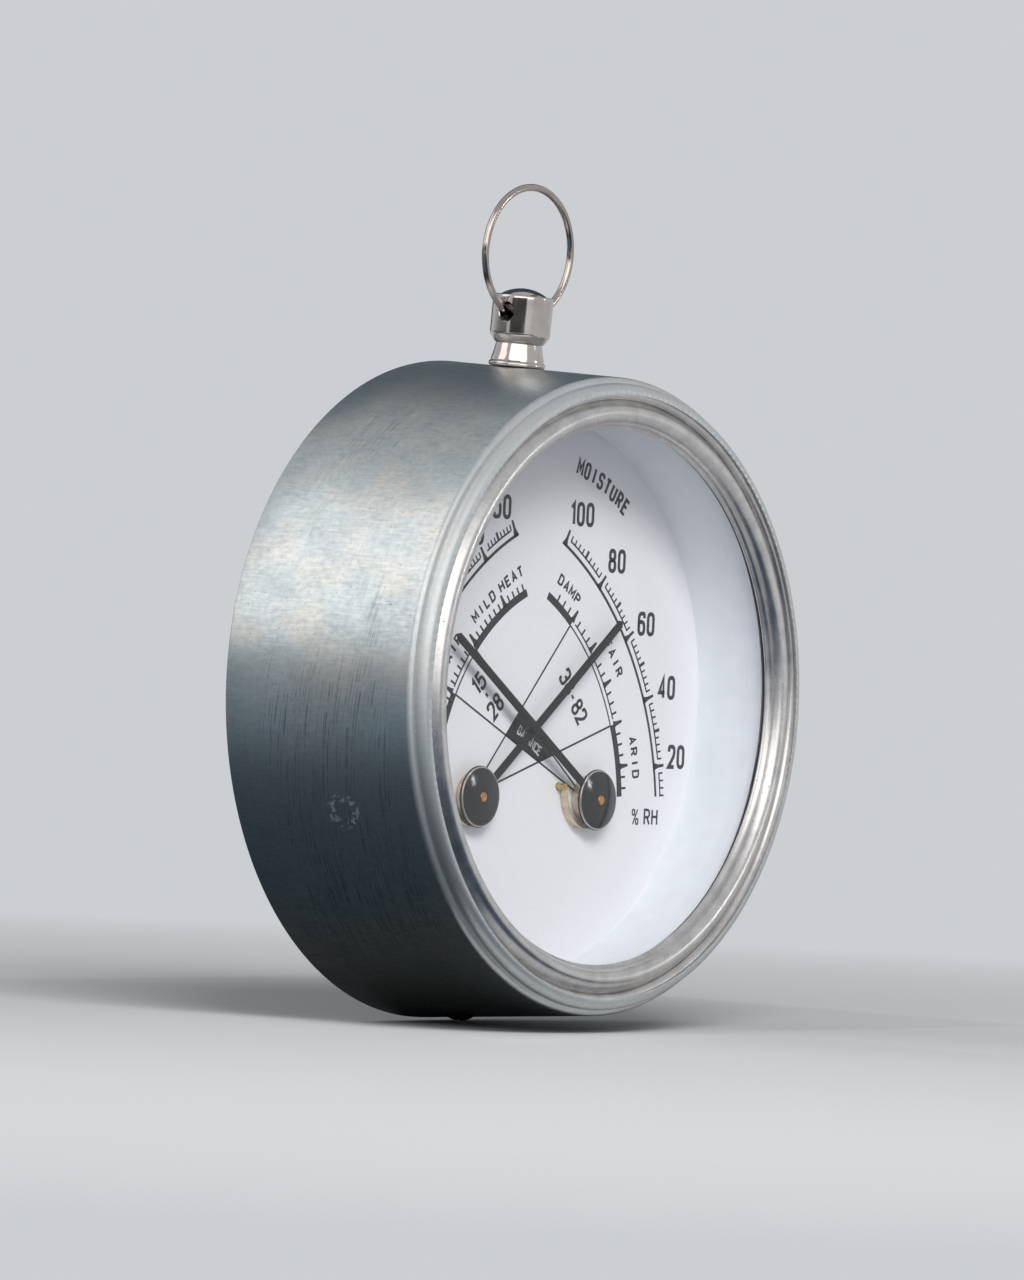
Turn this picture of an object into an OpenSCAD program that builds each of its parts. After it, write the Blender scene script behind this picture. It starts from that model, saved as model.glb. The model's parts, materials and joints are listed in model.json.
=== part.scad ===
// Wall thermo-hygrometer in a tapered steel drum case.
// Millimetres. +Z is up and the front looks towards -Y.
// The origin is the middle of the magnet's face, which lies against the wall.
// Nearly every piece is stacked along the drum's axis, so it is drawn on the bench, lying face up,
// with its height measured from the wall plane, and upright() stands it up.

/* [Case] */
// Outer radius of the case at its rear rim
rear_r = 50.2; // [49.6:0.1:52]
// Outer radius of the case at its front shoulder
front_r = 47.9; // [47.6:0.1:48.6]
// Height of the front beads above the wall plane
depth = 36; // [34:0.5:44]
// Height of the rear rim above the wall plane
rim_h = 1; // [0.6:0.1:1.8]
// Thickness of the case's sheet steel
sheet = 0.5; // [0.4:0.05:0.6]
// How far the shoulder lies behind the front beads
shoulder_drop = 2.8; // [2.5:0.1:3.4]
// How far the neck is drawn in from the shoulder
neck_in = 0.95; // [0.8:0.05:1.1]
// Outer radius of the case's rolled front edge
curl_r = 1.5; // [1.3:0.05:1.6]

/* [Bezel and glass] */
// Width of the groove between the bezel's two beads
groove_w = 0.42; // [0.3:0.02:0.8]
// Outer radius of the bezel's inner bead
bead_r = 1.6; // [1.4:0.05:1.65]
// Thickness of the bezel's sheet
bezel_sheet = 0.5; // [0.4:0.05:0.6]
// How far the bezel's return flange reaches in past the opening
return_in = 0.65; // [0.4:0.05:0.9]
// How far the return flange's rear face lies behind the front beads
bezel_drop = 2.6; // [2.4:0.1:3]
// Thickness of the rubber gasket on the glass
gasket_t = 0.4; // [0.3:0.1:0.6]
// How far the gasket's edge stands back from the return flange's edge
gasket_back = 0.3; // [0.1:0.1:0.6]
// Thickness of the glass
lens_t = 1.5; // [1.4:0.1:2.2]
// How far the glass reaches out past the edge of the bezel's opening
lens_lap = 2.75; // [2.2:0.05:3]

/* [Sleeve and dial] */
// Length of the white sleeve between the glass and the dial
sleeve_l = 12.2; // [10:0.1:14]
// How far the glass laps over the sleeve's front end
sleeve_lap = 1.4; // [1.2:0.1:1.7]
// Thickness of the sleeve's wall
sleeve_wall = 1.1; // [0.8:0.1:1.2]
// Thickness of the sleeve's two collars
collar_t = 1.2; // [0.8:0.1:1.8]
// How far the front collar's lip rises beside the glass
lip_rise = 1.5; // [1:0.1:1.7]
// Width of the front collar's lip
lip_w = 1; // [0.6:0.1:1.4]
// Gap all round between the case and what slides into it
slide_gap = 0.3; // [0.2:0.05:0.5]
// Thickness of the dial
dial_t = 0.8; // [0.5:0.1:1.2]
// Radius of the dial's hole round each bush
dial_hole_r = 3; // [2.7:0.1:3.2]
// Thickness of the plate behind the dial
plate_t = 1; // [0.8:0.1:1.6]
// Radius of the air holes in the plate
air_hole_r = 4; // [3:0.5:5]
// Radius of the circle that the air holes lie on
air_circle_r = 34; // [32:1:38]
// Number of air holes
air_holes = 6; // [4:1:8]
// Thickness of the rubber packing ring
packing_t = 1; // [0.8:0.1:1.4]
// Width of the packing ring
packing_w = 2.4; // [2:0.1:3]

/* [Rear cover and magnet] */
// Thickness of the rear cover's sheet
cover_sheet = 0.7; // [0.5:0.05:0.9]
// Gap between the rear cover's flange and the case
cover_gap = 0.15; // [0.1:0.05:0.25]
// Bend radius of the rear cover's corner
cover_bend = 2; // [1.5:0.1:2.5]
// Radius of the stiffening bead in the rear cover
rib_r = 1.1; // [0.9:0.1:1.3]
// Radius of the circle that the stiffening bead follows
rib_circle_r = 23; // [20:1:26]
// Radius of the vent holes
vent_r = 1.6; // [1.2:0.1:2]
// Radius of the circle that the vents lie on
vent_circle_r = 33; // [29:1:36]
// Number of vents in each of the two arcs
vents = 7; // [3:1:9]
// Angle between neighbouring vents
vent_step = 11; // [9:1:12]
// Height of the magnet, which is also the depth of the cover's recess
magnet_h = 3.5; // [3.2:0.1:4.5]
// Outer radius of the magnet's steel cup
cup_r = 15; // [12:0.5:17]
// Wall of the cup
cup_wall = 1.2; // [1:0.1:1.6]
// Base of the cup
cup_base = 0.9; // [0.7:0.1:1.2]
// Gap between the magnet and its cup
magnet_gap = 0.2; // [0.1:0.05:0.4]
// Radius of the cup's threaded stud
stud_r = 2; // [1.5:0.25:2.5]
// Length of the stud beyond its nut
stud_over = 1; // [0.5:0.5:2]
// Thickness of the stud's washer
stud_washer_t = 0.8; // [0.5:0.1:1]
// Thickness of the stud's nut
stud_nut_t = 3.2; // [2:0.1:3.5]

/* [Hanger] */
// Gap between the packing ring and the washer under the knob's screw
fix_gap = 0.5; // [0.2:0.1:2]
// Radius of the knob's foot
foot_r = 4.35; // [4:0.05:4.8]
// Thickness of the knob's foot
foot_t = 0.8; // [0.6:0.1:1.2]
// Radius at the bottom of the knob's flare
flare_r = 4.05; // [3.8:0.05:4.2]
// Radius of the knob's waist
waist_r = 3.5; // [3.2:0.05:3.7]
// Height of the waist above the foot's underside
waist_h = 3.5; // [3.2:0.1:4]
// Radius of the knob's barrel
barrel_r = 4.6; // [4.3:0.05:4.8]
// Height of the barrel's chamfer above the waist
barrel_chamfer = 1.35; // [1:0.05:1.5]
// Height of the barrel's top edge above the foot's underside
barrel_top = 10.9; // [10.6:0.1:12]
// Rise of the knob's domed crown
crown_rise = 1.1; // [0.8:0.1:1.5]
// Height of the cross hole above the foot's underside
hole_h = 8.2; // [8:0.1:8.6]
// Radius of the cross hole
hole_r = 1.25; // [1.2:0.01:1.35]
// Extra radius at the mouths of the cross hole
mouth = 0.35; // [0.3:0.05:0.5]
// How far the knob is turned about its own axis, in degrees
knob_turn = 5; // [0:1:20]
// Radius of the hanging ring to the middle of its wire
ring_r = 9.9; // [9.6:0.1:14]
// Radius of the ring's wire
wire_r = 0.55; // [0.5:0.01:0.57]
// How much of its play in the cross hole the ring takes up by standing askew
ring_lean = 0.85; // [0:0.05:0.85]
// Radius of the knob's screw
knob_screw_r = 1.25; // [1:0.05:1.5]
// How far the screw reaches into the knob
knob_screw_in = 4.5; // [3:0.5:5]
// Radius of the knob screw's head
knob_head_r = 2.25; // [2:0.05:2.6]
// Height of the knob screw's head
knob_head_t = 1.8; // [1.4:0.1:2]
// Thickness of the washer under the knob screw's head
knob_washer_t = 0.5; // [0.3:0.1:0.8]

/* [Cover screw] */
// How far the cover screw lies round from the lowest point, in degrees
cover_screw_turn = 8; // [0:0.5:40]
// Radius of the cover screw
cover_screw_r = 1.25; // [1:0.05:1.5]
// Radius of its round head
cover_head_r = 2.4; // [2.1:0.05:2.8]
// Height of its round head
cover_head_t = 1; // [0.8:0.1:1.4]
// Width of the slots in its head
slot_w = 0.5; // [0.3:0.1:0.7]
// Depth of the slots in its head
slot_d = 0.5; // [0.3:0.1:0.6]
// Thickness of its nut
cover_nut_t = 1.6; // [1.2:0.1:2]
// Clearance round the two screws in the case and cover
screw_gap = 0.1; // [0.05:0.05:0.2]

/* [Movements] */
// Distance of each hub from the upright centre line
hub_x = 14.2; // [13:0.1:16]
// Distance of both hubs below the centre
hub_drop = 15.8; // [12:0.1:18]
// Radius of each staff
staff_r = 0.75; // [0.6:0.05:0.9]
// Running clearance of a staff in its bush
run_gap = 0.04; // [0.02:0.01:0.08]
// Outer radius of each bush
bush_r = 2.2; // [1.8:0.1:2.5]
// Radius of each bush's flange
bush_flange_r = 3.4; // [3:0.1:4]
// Thickness of each bush's flange
bush_flange_t = 0.8; // [0.6:0.1:1.2]
// Length of each bush behind its flange
bush_tail = 3.2; // [2:0.1:5]
// Radius of the stop collar behind each bush
stop_r = 1.9; // [1.6:0.1:2.4]
// Thickness of each stop collar
stop_t = 1; // [0.6:0.1:1.4]
// End float between a bush and what turns beside it
end_float = 0.1; // [0.05:0.05:0.2]
// Radius of the collet that holds the coil's inner end
collet_r = 1.5; // [1.3:0.1:1.7]
// Height of the coils above the dial
coil_lift = 0.2; // [0.15:0.05:0.3]
// Width of the coil's strip
strip_w = 1.3; // [0.9:0.05:1.35]
// Thickness of the coil's strip
strip_t = 0.16; // [0.1:0.01:0.18]
// Distance from one turn of the coil to the next
coil_pitch = 0.62; // [0.6:0.01:0.66]
// Number of turns in each coil
coil_turns = 4; // [3:0.5:4]
// Extra radius that the outer end flares out by
coil_flare = 2.5; // [1.8:0.05:2.8]
// Angle that the flare takes, in degrees
flare_angle = 120; // [80:5:140]
// Direction of the coil's outer end from its hub, in degrees
anchor_angle = 165; // [150:5:190]
// Radius of the post that holds the coil's outer end
anchor_r = 0.5; // [0.4:0.05:0.6]
// Clearance round the anchor post in the dial
anchor_gap = 0.1; // [0.05:0.05:0.2]

/* [Pointers] */
// Gap between the humidity coil and the pointer over it
coil_clear = 0.2; // [0.15:0.05:0.4]
// Gap between the two pointers where they cross
pass_gap = 0.3; // [0.25:0.05:0.5]
// Thickness of each pointer
pointer_t = 0.2; // [0.15:0.01:0.25]
// Width of each pointer
pointer_w = 1.35; // [1:0.05:1.6]
// Length of each pointer from its hub
pointer_l = 44.3; // [36:0.1:45]
// Radius of each pointer's disc
disc_r = 4.65; // [4.3:0.05:5]
// How far the cap stands back from the disc's edge
cap_back = 0.1; // [0.05:0.05:0.3]
// Height of each cap's edge
cap_edge = 0.12; // [0.1:0.01:0.2]
// Rise of each cap's dome above its edge
cap_rise = 0.7; // [0.5:0.05:0.9]
// How far the staff's tip stands above its cap
tip_rise = 0.06; // [0.02:0.01:0.1]
// Angle of the humidity pointer above the level, in degrees
humidity_angle = 39.2; // [8:0.1:65]
// Angle of the temperature pointer above the level, in degrees
temp_angle = 33.7; // [14:0.1:65]

/* [Hidden] */
$fn = 96;
SEAT = 0.02;           // radial clearance between round pieces of one body
SAG = 0.13;            // how far a flat washer stands off the inside of the drum
CURL_FROM = -38;       // where the case's rolled edge starts and ends, in degrees from straight out
CURL_TO = 93;
LOBE_FROM = -20;       // where the bezel's edge under it starts
FILLET = 0.35;         // small rounding on turned edges
STRIP_STEPS = 30;      // points on each turn of a coil
OVER = 0.5;            // how far a cutter runs past what it cuts
HUMIDITY = -1;         // side of the humidity hub
TEMP = 1;              // side of the temperature hub

shoulder_h = depth - shoulder_drop;
wall_slope = (rear_r - front_r) / (shoulder_h - rim_h);
wall_tilt = atan(wall_slope);
neck_r = front_r - neck_in;
lobe_r = neck_r - curl_r;
lobe_h = depth - curl_r;
lobe_out = curl_r - sheet - SEAT;
bead_c = lobe_r - lobe_out - groove_w - bead_r;
bead_h = depth - bead_r;
opening_r = bead_c - bead_r;
return_r = opening_r - return_in;
lens_r = opening_r + lens_lap;
sleeve_r = lens_r - sleeve_lap;

gasket_h = depth - bezel_drop - gasket_t;
lens_h = gasket_h - lens_t;
dial_face = lens_h - sleeve_l;
dial_h = dial_face - dial_t;
plate_h = dial_h - plate_t;
packing_h = plate_h - packing_t;
plate_r = case_in(dial_face) - slide_gap;
knob_washer_r = knob_head_r + FILLET;
fix_h = packing_h - fix_gap - knob_washer_r;

bush_back = plate_h - bush_flange_t - bush_tail;
stop_top = bush_back - end_float;
coil_h = dial_face + coil_lift;
coil_r0 = collet_r + strip_t / 2;
coil_span = 360 * coil_turns;
coil_end_r = coil_r(coil_span);
anchor_c = coil_end_r + strip_t / 2 + anchor_r;
humidity_h = coil_h + strip_w + coil_clear;
temp_h = humidity_h + pointer_t + pass_gap;
cap_r = disc_r - cap_back;
dome_r = (cap_r * cap_r + cap_rise * cap_rise) / (2 * cap_rise);
skin = sheet + cover_gap + cover_sheet;
hole_sink = hole_r - wire_r - run_gap;
ring_skew = asin(ring_lean * hole_sink / (barrel_r - mouth));

// Outer and inner radius of the tapered case at a height above the wall plane
function case_out(h) = rear_r - wall_slope * (h - rim_h);
function case_in(h) = case_out(h) - sheet;

// Radius of a coil's middle line at an angle along the strip: even turns, then the outward flare
function flare_part(a) = max(0, (a - coil_span + flare_angle) / flare_angle);
function coil_r(a) = coil_r0 + coil_pitch * a / 360 + coil_flare * flare_part(a);
function coil_dir(a) = anchor_angle + coil_span - a;
function coil_point(a, side) =
    (coil_r(a) + side * strip_t / 2) * [cos(coil_dir(a)), sin(coil_dir(a))];

// Least gap between neighbouring turns, measured on the coil's points
coil_gap = min([for (a = [360:360 / STRIP_STEPS:coil_span])
    norm(coil_point(a, -1) - coil_point(a - 360, 1))]);
echo(coil_gap = coil_gap);

module upright() {
    rotate([90, 0, 0]) children();
}

// A solid of revolution about the drum's axis from a section of radius and height
module turned() {
    rotate_extrude() children();
}

// A round disc or ring of a given inner and outer radius
module washer(r_in, r_out, h, t) {
    translate([0, 0, h]) difference() {
        cylinder(r = r_out, h = t);
        if (r_in > 0) translate([0, 0, -OVER]) cylinder(r = r_in, h = t + 2 * OVER);
    }
}

// Part of a ring's section between two angles, for rolled sheet edges
module arc_band(r_out, r_in, a0, a1) {
    far = r_out * 2;
    steps = 6;
    intersection() {
        difference() {
            circle(r = r_out);
            circle(r = r_in);
        }
        polygon(concat([[0, 0]],
            [for (i = [0:steps]) far * [cos(a0 + (a1 - a0) * i / steps), sin(a0 + (a1 - a0) * i / steps)]]));
    }
}

// Puts a child on the case's wall at the fixing height, with its axis square to the wall.
// The child's +Z points out of the case.
module on_wall(turn) {
    rotate([0, 0, -turn])
        translate([0, case_out(fix_h), fix_h])
            rotate([-90 + wall_tilt, 0, 0]) children();
}

// Puts a child at one hub, with its heights still measured from the wall plane
module at_hub(side) {
    translate([side * hub_x, -hub_drop, 0]) children();
}

module screw_holes() {
    reach = skin + 2 * OVER;
    on_wall(0) translate([0, 0, -reach]) cylinder(r = knob_screw_r + screw_gap, h = reach + 2 * OVER);
    on_wall(180 + cover_screw_turn)
        translate([0, 0, -reach]) cylinder(r = cover_screw_r + screw_gap, h = reach + 2 * OVER);
}

module case() color([0.58, 0.63, 0.67]) upright() {
    low = rim_h + sheet / 2;
    difference() {
        turned() {
            polygon([[case_in(low), low], [case_out(low), low],
                [front_r, shoulder_h], [front_r - sheet, shoulder_h]]);
            translate([case_out(low) - sheet / 2, low]) circle(r = sheet / 2, $fn = 24);
            translate([neck_r, shoulder_h]) arc_band(neck_in, neck_in - sheet, 0, 91);
            translate([neck_r - sheet, shoulder_h + neck_in - sheet]) square([sheet + SEAT, sheet]);
            translate([lobe_r, lobe_h]) arc_band(curl_r, curl_r - sheet, CURL_FROM, CURL_TO);
        }
        screw_holes();
    }
}

module bezel_ring() color([0.62, 0.65, 0.67]) upright() {
    web_h = bead_h - bezel_sheet;
    back_h = depth - bezel_drop;
    turned() {
        translate([lobe_r, lobe_h]) arc_band(lobe_out, lobe_out - bezel_sheet, LOBE_FROM, 180);
        translate([lobe_r - lobe_out, web_h]) square([bezel_sheet, lobe_h - web_h + SEAT]);
        translate([bead_c, bead_h]) arc_band(bead_r, bead_r - bezel_sheet, 0, 180);
        translate([bead_c + bead_r - bezel_sheet, web_h])
            square([lobe_r - lobe_out - bead_c - bead_r + 2 * bezel_sheet, bezel_sheet]);
        translate([opening_r, back_h]) square([bezel_sheet, bead_h - back_h + SEAT]);
        translate([return_r + bezel_sheet / 2, back_h])
            square([return_in + bezel_sheet / 2, bezel_sheet]);
        translate([return_r + bezel_sheet / 2, back_h + bezel_sheet / 2])
            circle(r = bezel_sheet / 2, $fn = 24);
    }
}

module lens_gasket() color([0.1, 0.1, 0.1]) upright()
    washer(return_r + gasket_back, lens_r - gasket_back, gasket_h, gasket_t);

module lens() color([0.85, 0.93, 0.95, 0.3]) upright() {
    washer(0, lens_r, lens_h, lens_t);
}

module dial_sleeve() color([0.95, 0.95, 0.96]) upright() {
    front_collar_r = case_in(lens_h + lip_rise) - slide_gap;
    turned() {
        translate([sleeve_r, dial_face]) square([sleeve_wall, sleeve_l]);
        translate([sleeve_r, dial_face]) square([case_in(dial_face + collar_t) - slide_gap - sleeve_r, collar_t]);
        translate([sleeve_r, lens_h - collar_t]) square([front_collar_r - sleeve_r, collar_t]);
        translate([lens_r + gasket_back, lens_h - SEAT]) square([lip_w, lip_rise + SEAT]);
    }
}

module dial_plate() color([0.96, 0.96, 0.97]) upright() {
    difference() {
        washer(0, plate_r, dial_h, dial_t);
        for (side = [HUMIDITY, TEMP]) at_hub(side) {
            translate([0, 0, dial_h - OVER]) cylinder(r = dial_hole_r, h = dial_t + 2 * OVER);
            rotate([0, 0, anchor_angle]) translate([anchor_c, 0, dial_h - OVER])
                cylinder(r = anchor_r + anchor_gap, h = dial_t + 2 * OVER, $fn = 32);
        }
    }
}

module movement_plate() color([0.7, 0.72, 0.74]) upright() {
    difference() {
        washer(0, plate_r, plate_h, plate_t);
        for (side = [HUMIDITY, TEMP]) at_hub(side) {
            translate([0, 0, plate_h - OVER]) cylinder(r = bush_r + SEAT, h = plate_t + 2 * OVER);
            rotate([0, 0, anchor_angle]) translate([anchor_c, 0, plate_h - OVER])
                cylinder(r = anchor_r + SEAT, h = plate_t + 2 * OVER, $fn = 32);
        }
        for (i = [0:air_holes - 1]) rotate([0, 0, (i + 0.5) * 360 / air_holes])
            translate([air_circle_r, 0, plate_h - OVER]) cylinder(r = air_hole_r, h = plate_t + 2 * OVER);
    }
}

module packing_ring() color([0.12, 0.12, 0.12]) upright()
    washer(case_in(packing_h) - slide_gap - packing_w, plate_r, packing_h, packing_t);

module rear_cover() color([0.6, 0.62, 0.64]) upright() {
    flange_r = case_in(magnet_h) - cover_gap;
    top_r = case_in(packing_h) - cover_gap;
    bend_h = magnet_h + cover_bend;
    bend_r = case_in(bend_h) - cover_gap;
    difference() {
        turned() {
            difference() {
                square_from(0, magnet_h, bend_r - cover_bend, cover_sheet);
                translate([rib_circle_r - rib_r, magnet_h - OVER]) square([2 * rib_r, cover_sheet + 2 * OVER]);
            }
            translate([rib_circle_r, magnet_h]) arc_band(rib_r, rib_r - cover_sheet, 0, 180);
            translate([rib_circle_r, magnet_h]) rib_feet();
            translate([bend_r - cover_bend, bend_h]) arc_band(cover_bend, cover_bend - cover_sheet, -91, 1);
            polygon([[bend_r - cover_sheet, bend_h], [bend_r, bend_h],
                [top_r, packing_h], [top_r - cover_sheet, packing_h]]);
        }
        translate([0, 0, magnet_h - OVER]) cylinder(r = stud_r + SEAT, h = cover_sheet + 2 * OVER);
        for (half = [0, 180], i = [0:vents - 1])
            rotate([0, 0, half + (i - (vents - 1) / 2) * vent_step])
                translate([vent_circle_r, 0, magnet_h - OVER])
                    cylinder(r = vent_r, h = cover_sheet + 2 * OVER, $fn = 32);
        screw_holes();
    }
}

// The flat lands that join the stiffening bead to the cover's web
module rib_feet() {
    for (side = [-1, 1]) translate([side * (rib_r - cover_sheet / 2) - cover_sheet / 2, 0])
        square([cover_sheet, cover_sheet]);
}

// A rectangle of a section, given by its inner radius, height, width and thickness
module square_from(r, h, w, t) {
    translate([r, h]) square([w, t]);
}

module magnet_cup() color([0.75, 0.76, 0.78]) upright() {
    stud_l = cover_sheet + stud_washer_t + stud_nut_t + stud_over;
    difference() {
        cylinder(r = cup_r, h = magnet_h);
        translate([0, 0, -OVER]) cylinder(r = cup_r - cup_wall, h = magnet_h - cup_base + OVER);
    }
    translate([0, 0, magnet_h - SEAT]) cylinder(r = stud_r, h = stud_l + SEAT);
}

module magnet() color([0.2, 0.2, 0.21]) upright()
    washer(0, cup_r - cup_wall - magnet_gap, 0, magnet_h - cup_base);

module magnet_washer() color([0.75, 0.76, 0.78]) upright()
    washer(stud_r + SEAT, stud_r * 2.25, magnet_h + cover_sheet, stud_washer_t);

module magnet_nut() color([0.75, 0.76, 0.78]) upright() difference() {
    translate([0, 0, magnet_h + cover_sheet + stud_washer_t]) cylinder(r = stud_r * 2, h = stud_nut_t, $fn = 6);
    cylinder(r = stud_r + SEAT, h = depth);
}

// The turned knob, with its foot's underside at height 0
module knob_blank() {
    neck_run = (flare_r - waist_r) * 1.2;
    rotate_extrude() difference() {
        union() {
            square([foot_r - foot_t / 2, foot_t]);
            translate([foot_r - foot_t / 2, foot_t / 2]) circle(r = foot_t / 2, $fn = 32);
            polygon([[0, foot_t / 2], [flare_r, foot_t], [flare_r, foot_t + FILLET],
                [flare_r - neck_run * 0.45, (foot_t + waist_h) / 2], [waist_r, waist_h], [0, waist_h]]);
            polygon([[0, waist_h - OVER], [waist_r, waist_h], [waist_r + FILLET, waist_h + FILLET / 2],
                [barrel_r, waist_h + barrel_chamfer], [barrel_r, barrel_top - FILLET],
                [barrel_r - FILLET, barrel_top], [0, barrel_top]]);
            translate([barrel_r - FILLET, barrel_top - FILLET]) circle(r = FILLET, $fn = 32);
            translate([0, barrel_top]) intersection() {
                crown_r = barrel_r - 3 * FILLET;
                ball_r = (crown_r * crown_r + crown_rise * crown_rise) / (2 * crown_rise);
                translate([0, crown_rise - ball_r]) circle(r = ball_r);
                translate([0, -SEAT]) square([crown_r, crown_rise + OVER]);
            }
        }
        translate([-foot_r * 2, -OVER]) square([foot_r * 2, barrel_top + 4 * OVER]);
    }
}

module hanger_knob() color([0.82, 0.8, 0.78]) upright() on_wall(0) rotate([0, 0, knob_turn]) {
    difference() {
        knob_blank();
        translate([0, 0, -OVER]) cylinder(r = knob_screw_r + SEAT, h = knob_screw_in + 2 * OVER);
        translate([0, 0, hole_h]) rotate([0, 90, 0]) {
            cylinder(r = hole_r, h = 3 * barrel_r, center = true);
            for (end = [0, 180]) rotate([end, 0, 0]) translate([0, 0, barrel_r - mouth])
                cylinder(r1 = hole_r, r2 = hole_r + 2 * mouth, h = 2 * mouth);
        }
    }
}

// The ring rests on the lower wall of the cross hole, so its lowest point lies below the hole's axis,
// and it stands a little askew in the hole
module hanger_ring() color([0.8, 0.78, 0.76]) upright() on_wall(0) rotate([0, 0, knob_turn - ring_skew])
    translate([0, 0, hole_h + ring_r - hole_sink])
        rotate([90, 0, 0]) rotate_extrude() translate([ring_r, 0]) circle(r = wire_r, $fn = 32);

module knob_screw() color([0.7, 0.7, 0.72]) upright() on_wall(0) {
    head_top = -skin - SAG - knob_washer_t;
    translate([0, 0, head_top - SEAT]) cylinder(r = knob_screw_r, h = knob_screw_in - head_top + SEAT);
    difference() {
        translate([0, 0, head_top - knob_head_t]) cylinder(r = knob_head_r, h = knob_head_t);
        translate([0, 0, head_top - knob_head_t]) cube([3 * knob_head_r, slot_w, 2 * slot_d], center = true);
    }
}

module knob_washer() color([0.7, 0.7, 0.72]) upright() on_wall(0)
    washer(knob_screw_r + SEAT, knob_washer_r, -skin - SAG - knob_washer_t, knob_washer_t);

module cover_screw() color([0.08, 0.07, 0.06]) upright() on_wall(180 + cover_screw_turn) {
    ball_r = (cover_head_r * cover_head_r + cover_head_t * cover_head_t) / (2 * cover_head_t);
    difference() {
        rotate_extrude() intersection() {
            translate([0, cover_head_t - ball_r]) circle(r = ball_r);
            square([cover_head_r, cover_head_t]);
        }
        for (a = [45, 135]) rotate([0, 0, a])
            translate([0, 0, cover_head_t]) cube([cover_head_r, slot_w, 2 * slot_d], center = true);
    }
    translate([0, 0, -skin - SAG - cover_nut_t - OVER])
        cylinder(r = cover_screw_r, h = skin + SAG + cover_nut_t + OVER + SEAT);
}

module cover_screw_nut() color([0.7, 0.7, 0.72]) upright() on_wall(180 + cover_screw_turn) difference() {
    translate([0, 0, -skin - SAG - cover_nut_t]) cylinder(r = cover_screw_r * 2.2, h = cover_nut_t, $fn = 6);
    translate([0, 0, -skin - 2 * cover_nut_t]) cylinder(r = cover_screw_r + SEAT, h = 3 * cover_nut_t);
}

module bush(side) color([0.78, 0.6, 0.3]) upright() at_hub(side) difference() {
    union() {
        translate([0, 0, bush_back]) cylinder(r = bush_r, h = dial_face - bush_back - end_float);
        translate([0, 0, plate_h - bush_flange_t]) cylinder(r = bush_flange_r, h = bush_flange_t);
    }
    cylinder(r = staff_r + run_gap, h = depth, $fn = 48);
}

// A staff runs from behind its stop collar to just proud of its cap
module staff(side, pointer_h) color([0.8, 0.52, 0.2]) upright() at_hub(side) {
    low = stop_top - stop_t - OVER;
    tip = pointer_h + pointer_t + cap_edge + cap_rise + tip_rise;
    translate([0, 0, low]) cylinder(r = staff_r, h = tip - low, $fn = 48);
}

module stop_collar(side) color([0.78, 0.6, 0.3]) upright() at_hub(side)
    washer(staff_r, stop_r, stop_top - stop_t, stop_t);

module collet(side) color([0.78, 0.6, 0.3]) upright() at_hub(side)
    washer(staff_r, collet_r - SEAT, coil_h, strip_w);

module coil(side) color([0.86, 0.78, 0.62]) upright() at_hub(side) translate([0, 0, coil_h])
    linear_extrude(height = strip_w) polygon(concat(
        [for (a = [0:360 / STRIP_STEPS:coil_span]) coil_point(a, 1)],
        [for (a = [coil_span:-360 / STRIP_STEPS:0]) coil_point(a, -1)]));

module anchor(side) color([0.78, 0.6, 0.3]) upright() at_hub(side)
    rotate([0, 0, anchor_angle]) translate([anchor_c + SEAT, 0, plate_h])
        cylinder(r = anchor_r, h = coil_h + strip_w - plate_h, $fn = 32);

// A pointer is cut from one sheet: a disc on the staff and a slim bar with a bevelled end
module pointer(side, pointer_h, angle) color([0.13, 0.13, 0.14]) upright() at_hub(side)
    translate([0, 0, pointer_h]) rotate([0, 0, side == TEMP ? 180 - angle : angle])
        linear_extrude(height = pointer_t) difference() {
            union() {
                circle(r = disc_r);
                polygon([[0, -pointer_w / 2], [pointer_l - pointer_w / 2, -pointer_w / 2], [pointer_l, 0],
                    [pointer_l - pointer_w / 2, pointer_w / 2], [0, pointer_w / 2]]);
            }
            circle(r = staff_r, $fn = 48);
        }

module cap(side, pointer_h) color([0.08, 0.08, 0.09]) upright() at_hub(side)
    translate([0, 0, pointer_h + pointer_t]) rotate_extrude() difference() {
        union() {
            square([cap_r, cap_edge]);
            translate([0, cap_edge]) intersection() {
                translate([0, cap_rise - dome_r]) circle(r = dome_r, $fn = 360);
                translate([0, -SEAT]) square([cap_r, cap_rise + OVER]);
            }
        }
        translate([-OVER, -OVER]) square([staff_r + OVER, cap_edge + cap_rise + 2 * OVER]);
    }

module humidity_bush() bush(HUMIDITY);
module humidity_staff() staff(HUMIDITY, humidity_h);
module humidity_stop() stop_collar(HUMIDITY);
module humidity_collet() collet(HUMIDITY);
module humidity_coil() coil(HUMIDITY);
module humidity_anchor() anchor(HUMIDITY);
module humidity_pointer() pointer(HUMIDITY, humidity_h, humidity_angle);
module humidity_cap() cap(HUMIDITY, humidity_h);
module temp_bush() bush(TEMP);
module temp_staff() staff(TEMP, temp_h);
module temp_stop() stop_collar(TEMP);
module temp_collet() collet(TEMP);
module temp_coil() coil(TEMP);
module temp_anchor() anchor(TEMP);
module temp_pointer() pointer(TEMP, temp_h, temp_angle);
module temp_cap() cap(TEMP, temp_h);

case();
bezel_ring();
lens_gasket();
lens();
dial_sleeve();
dial_plate();
movement_plate();
packing_ring();
rear_cover();
magnet_cup();
magnet();
magnet_washer();
magnet_nut();
hanger_knob();
hanger_ring();
knob_screw();
knob_washer();
cover_screw();
cover_screw_nut();
humidity_bush();
humidity_staff();
humidity_stop();
humidity_collet();
humidity_coil();
humidity_anchor();
humidity_pointer();
humidity_cap();
temp_bush();
temp_staff();
temp_stop();
temp_collet();
temp_coil();
temp_anchor();
temp_pointer();
temp_cap();
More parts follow.
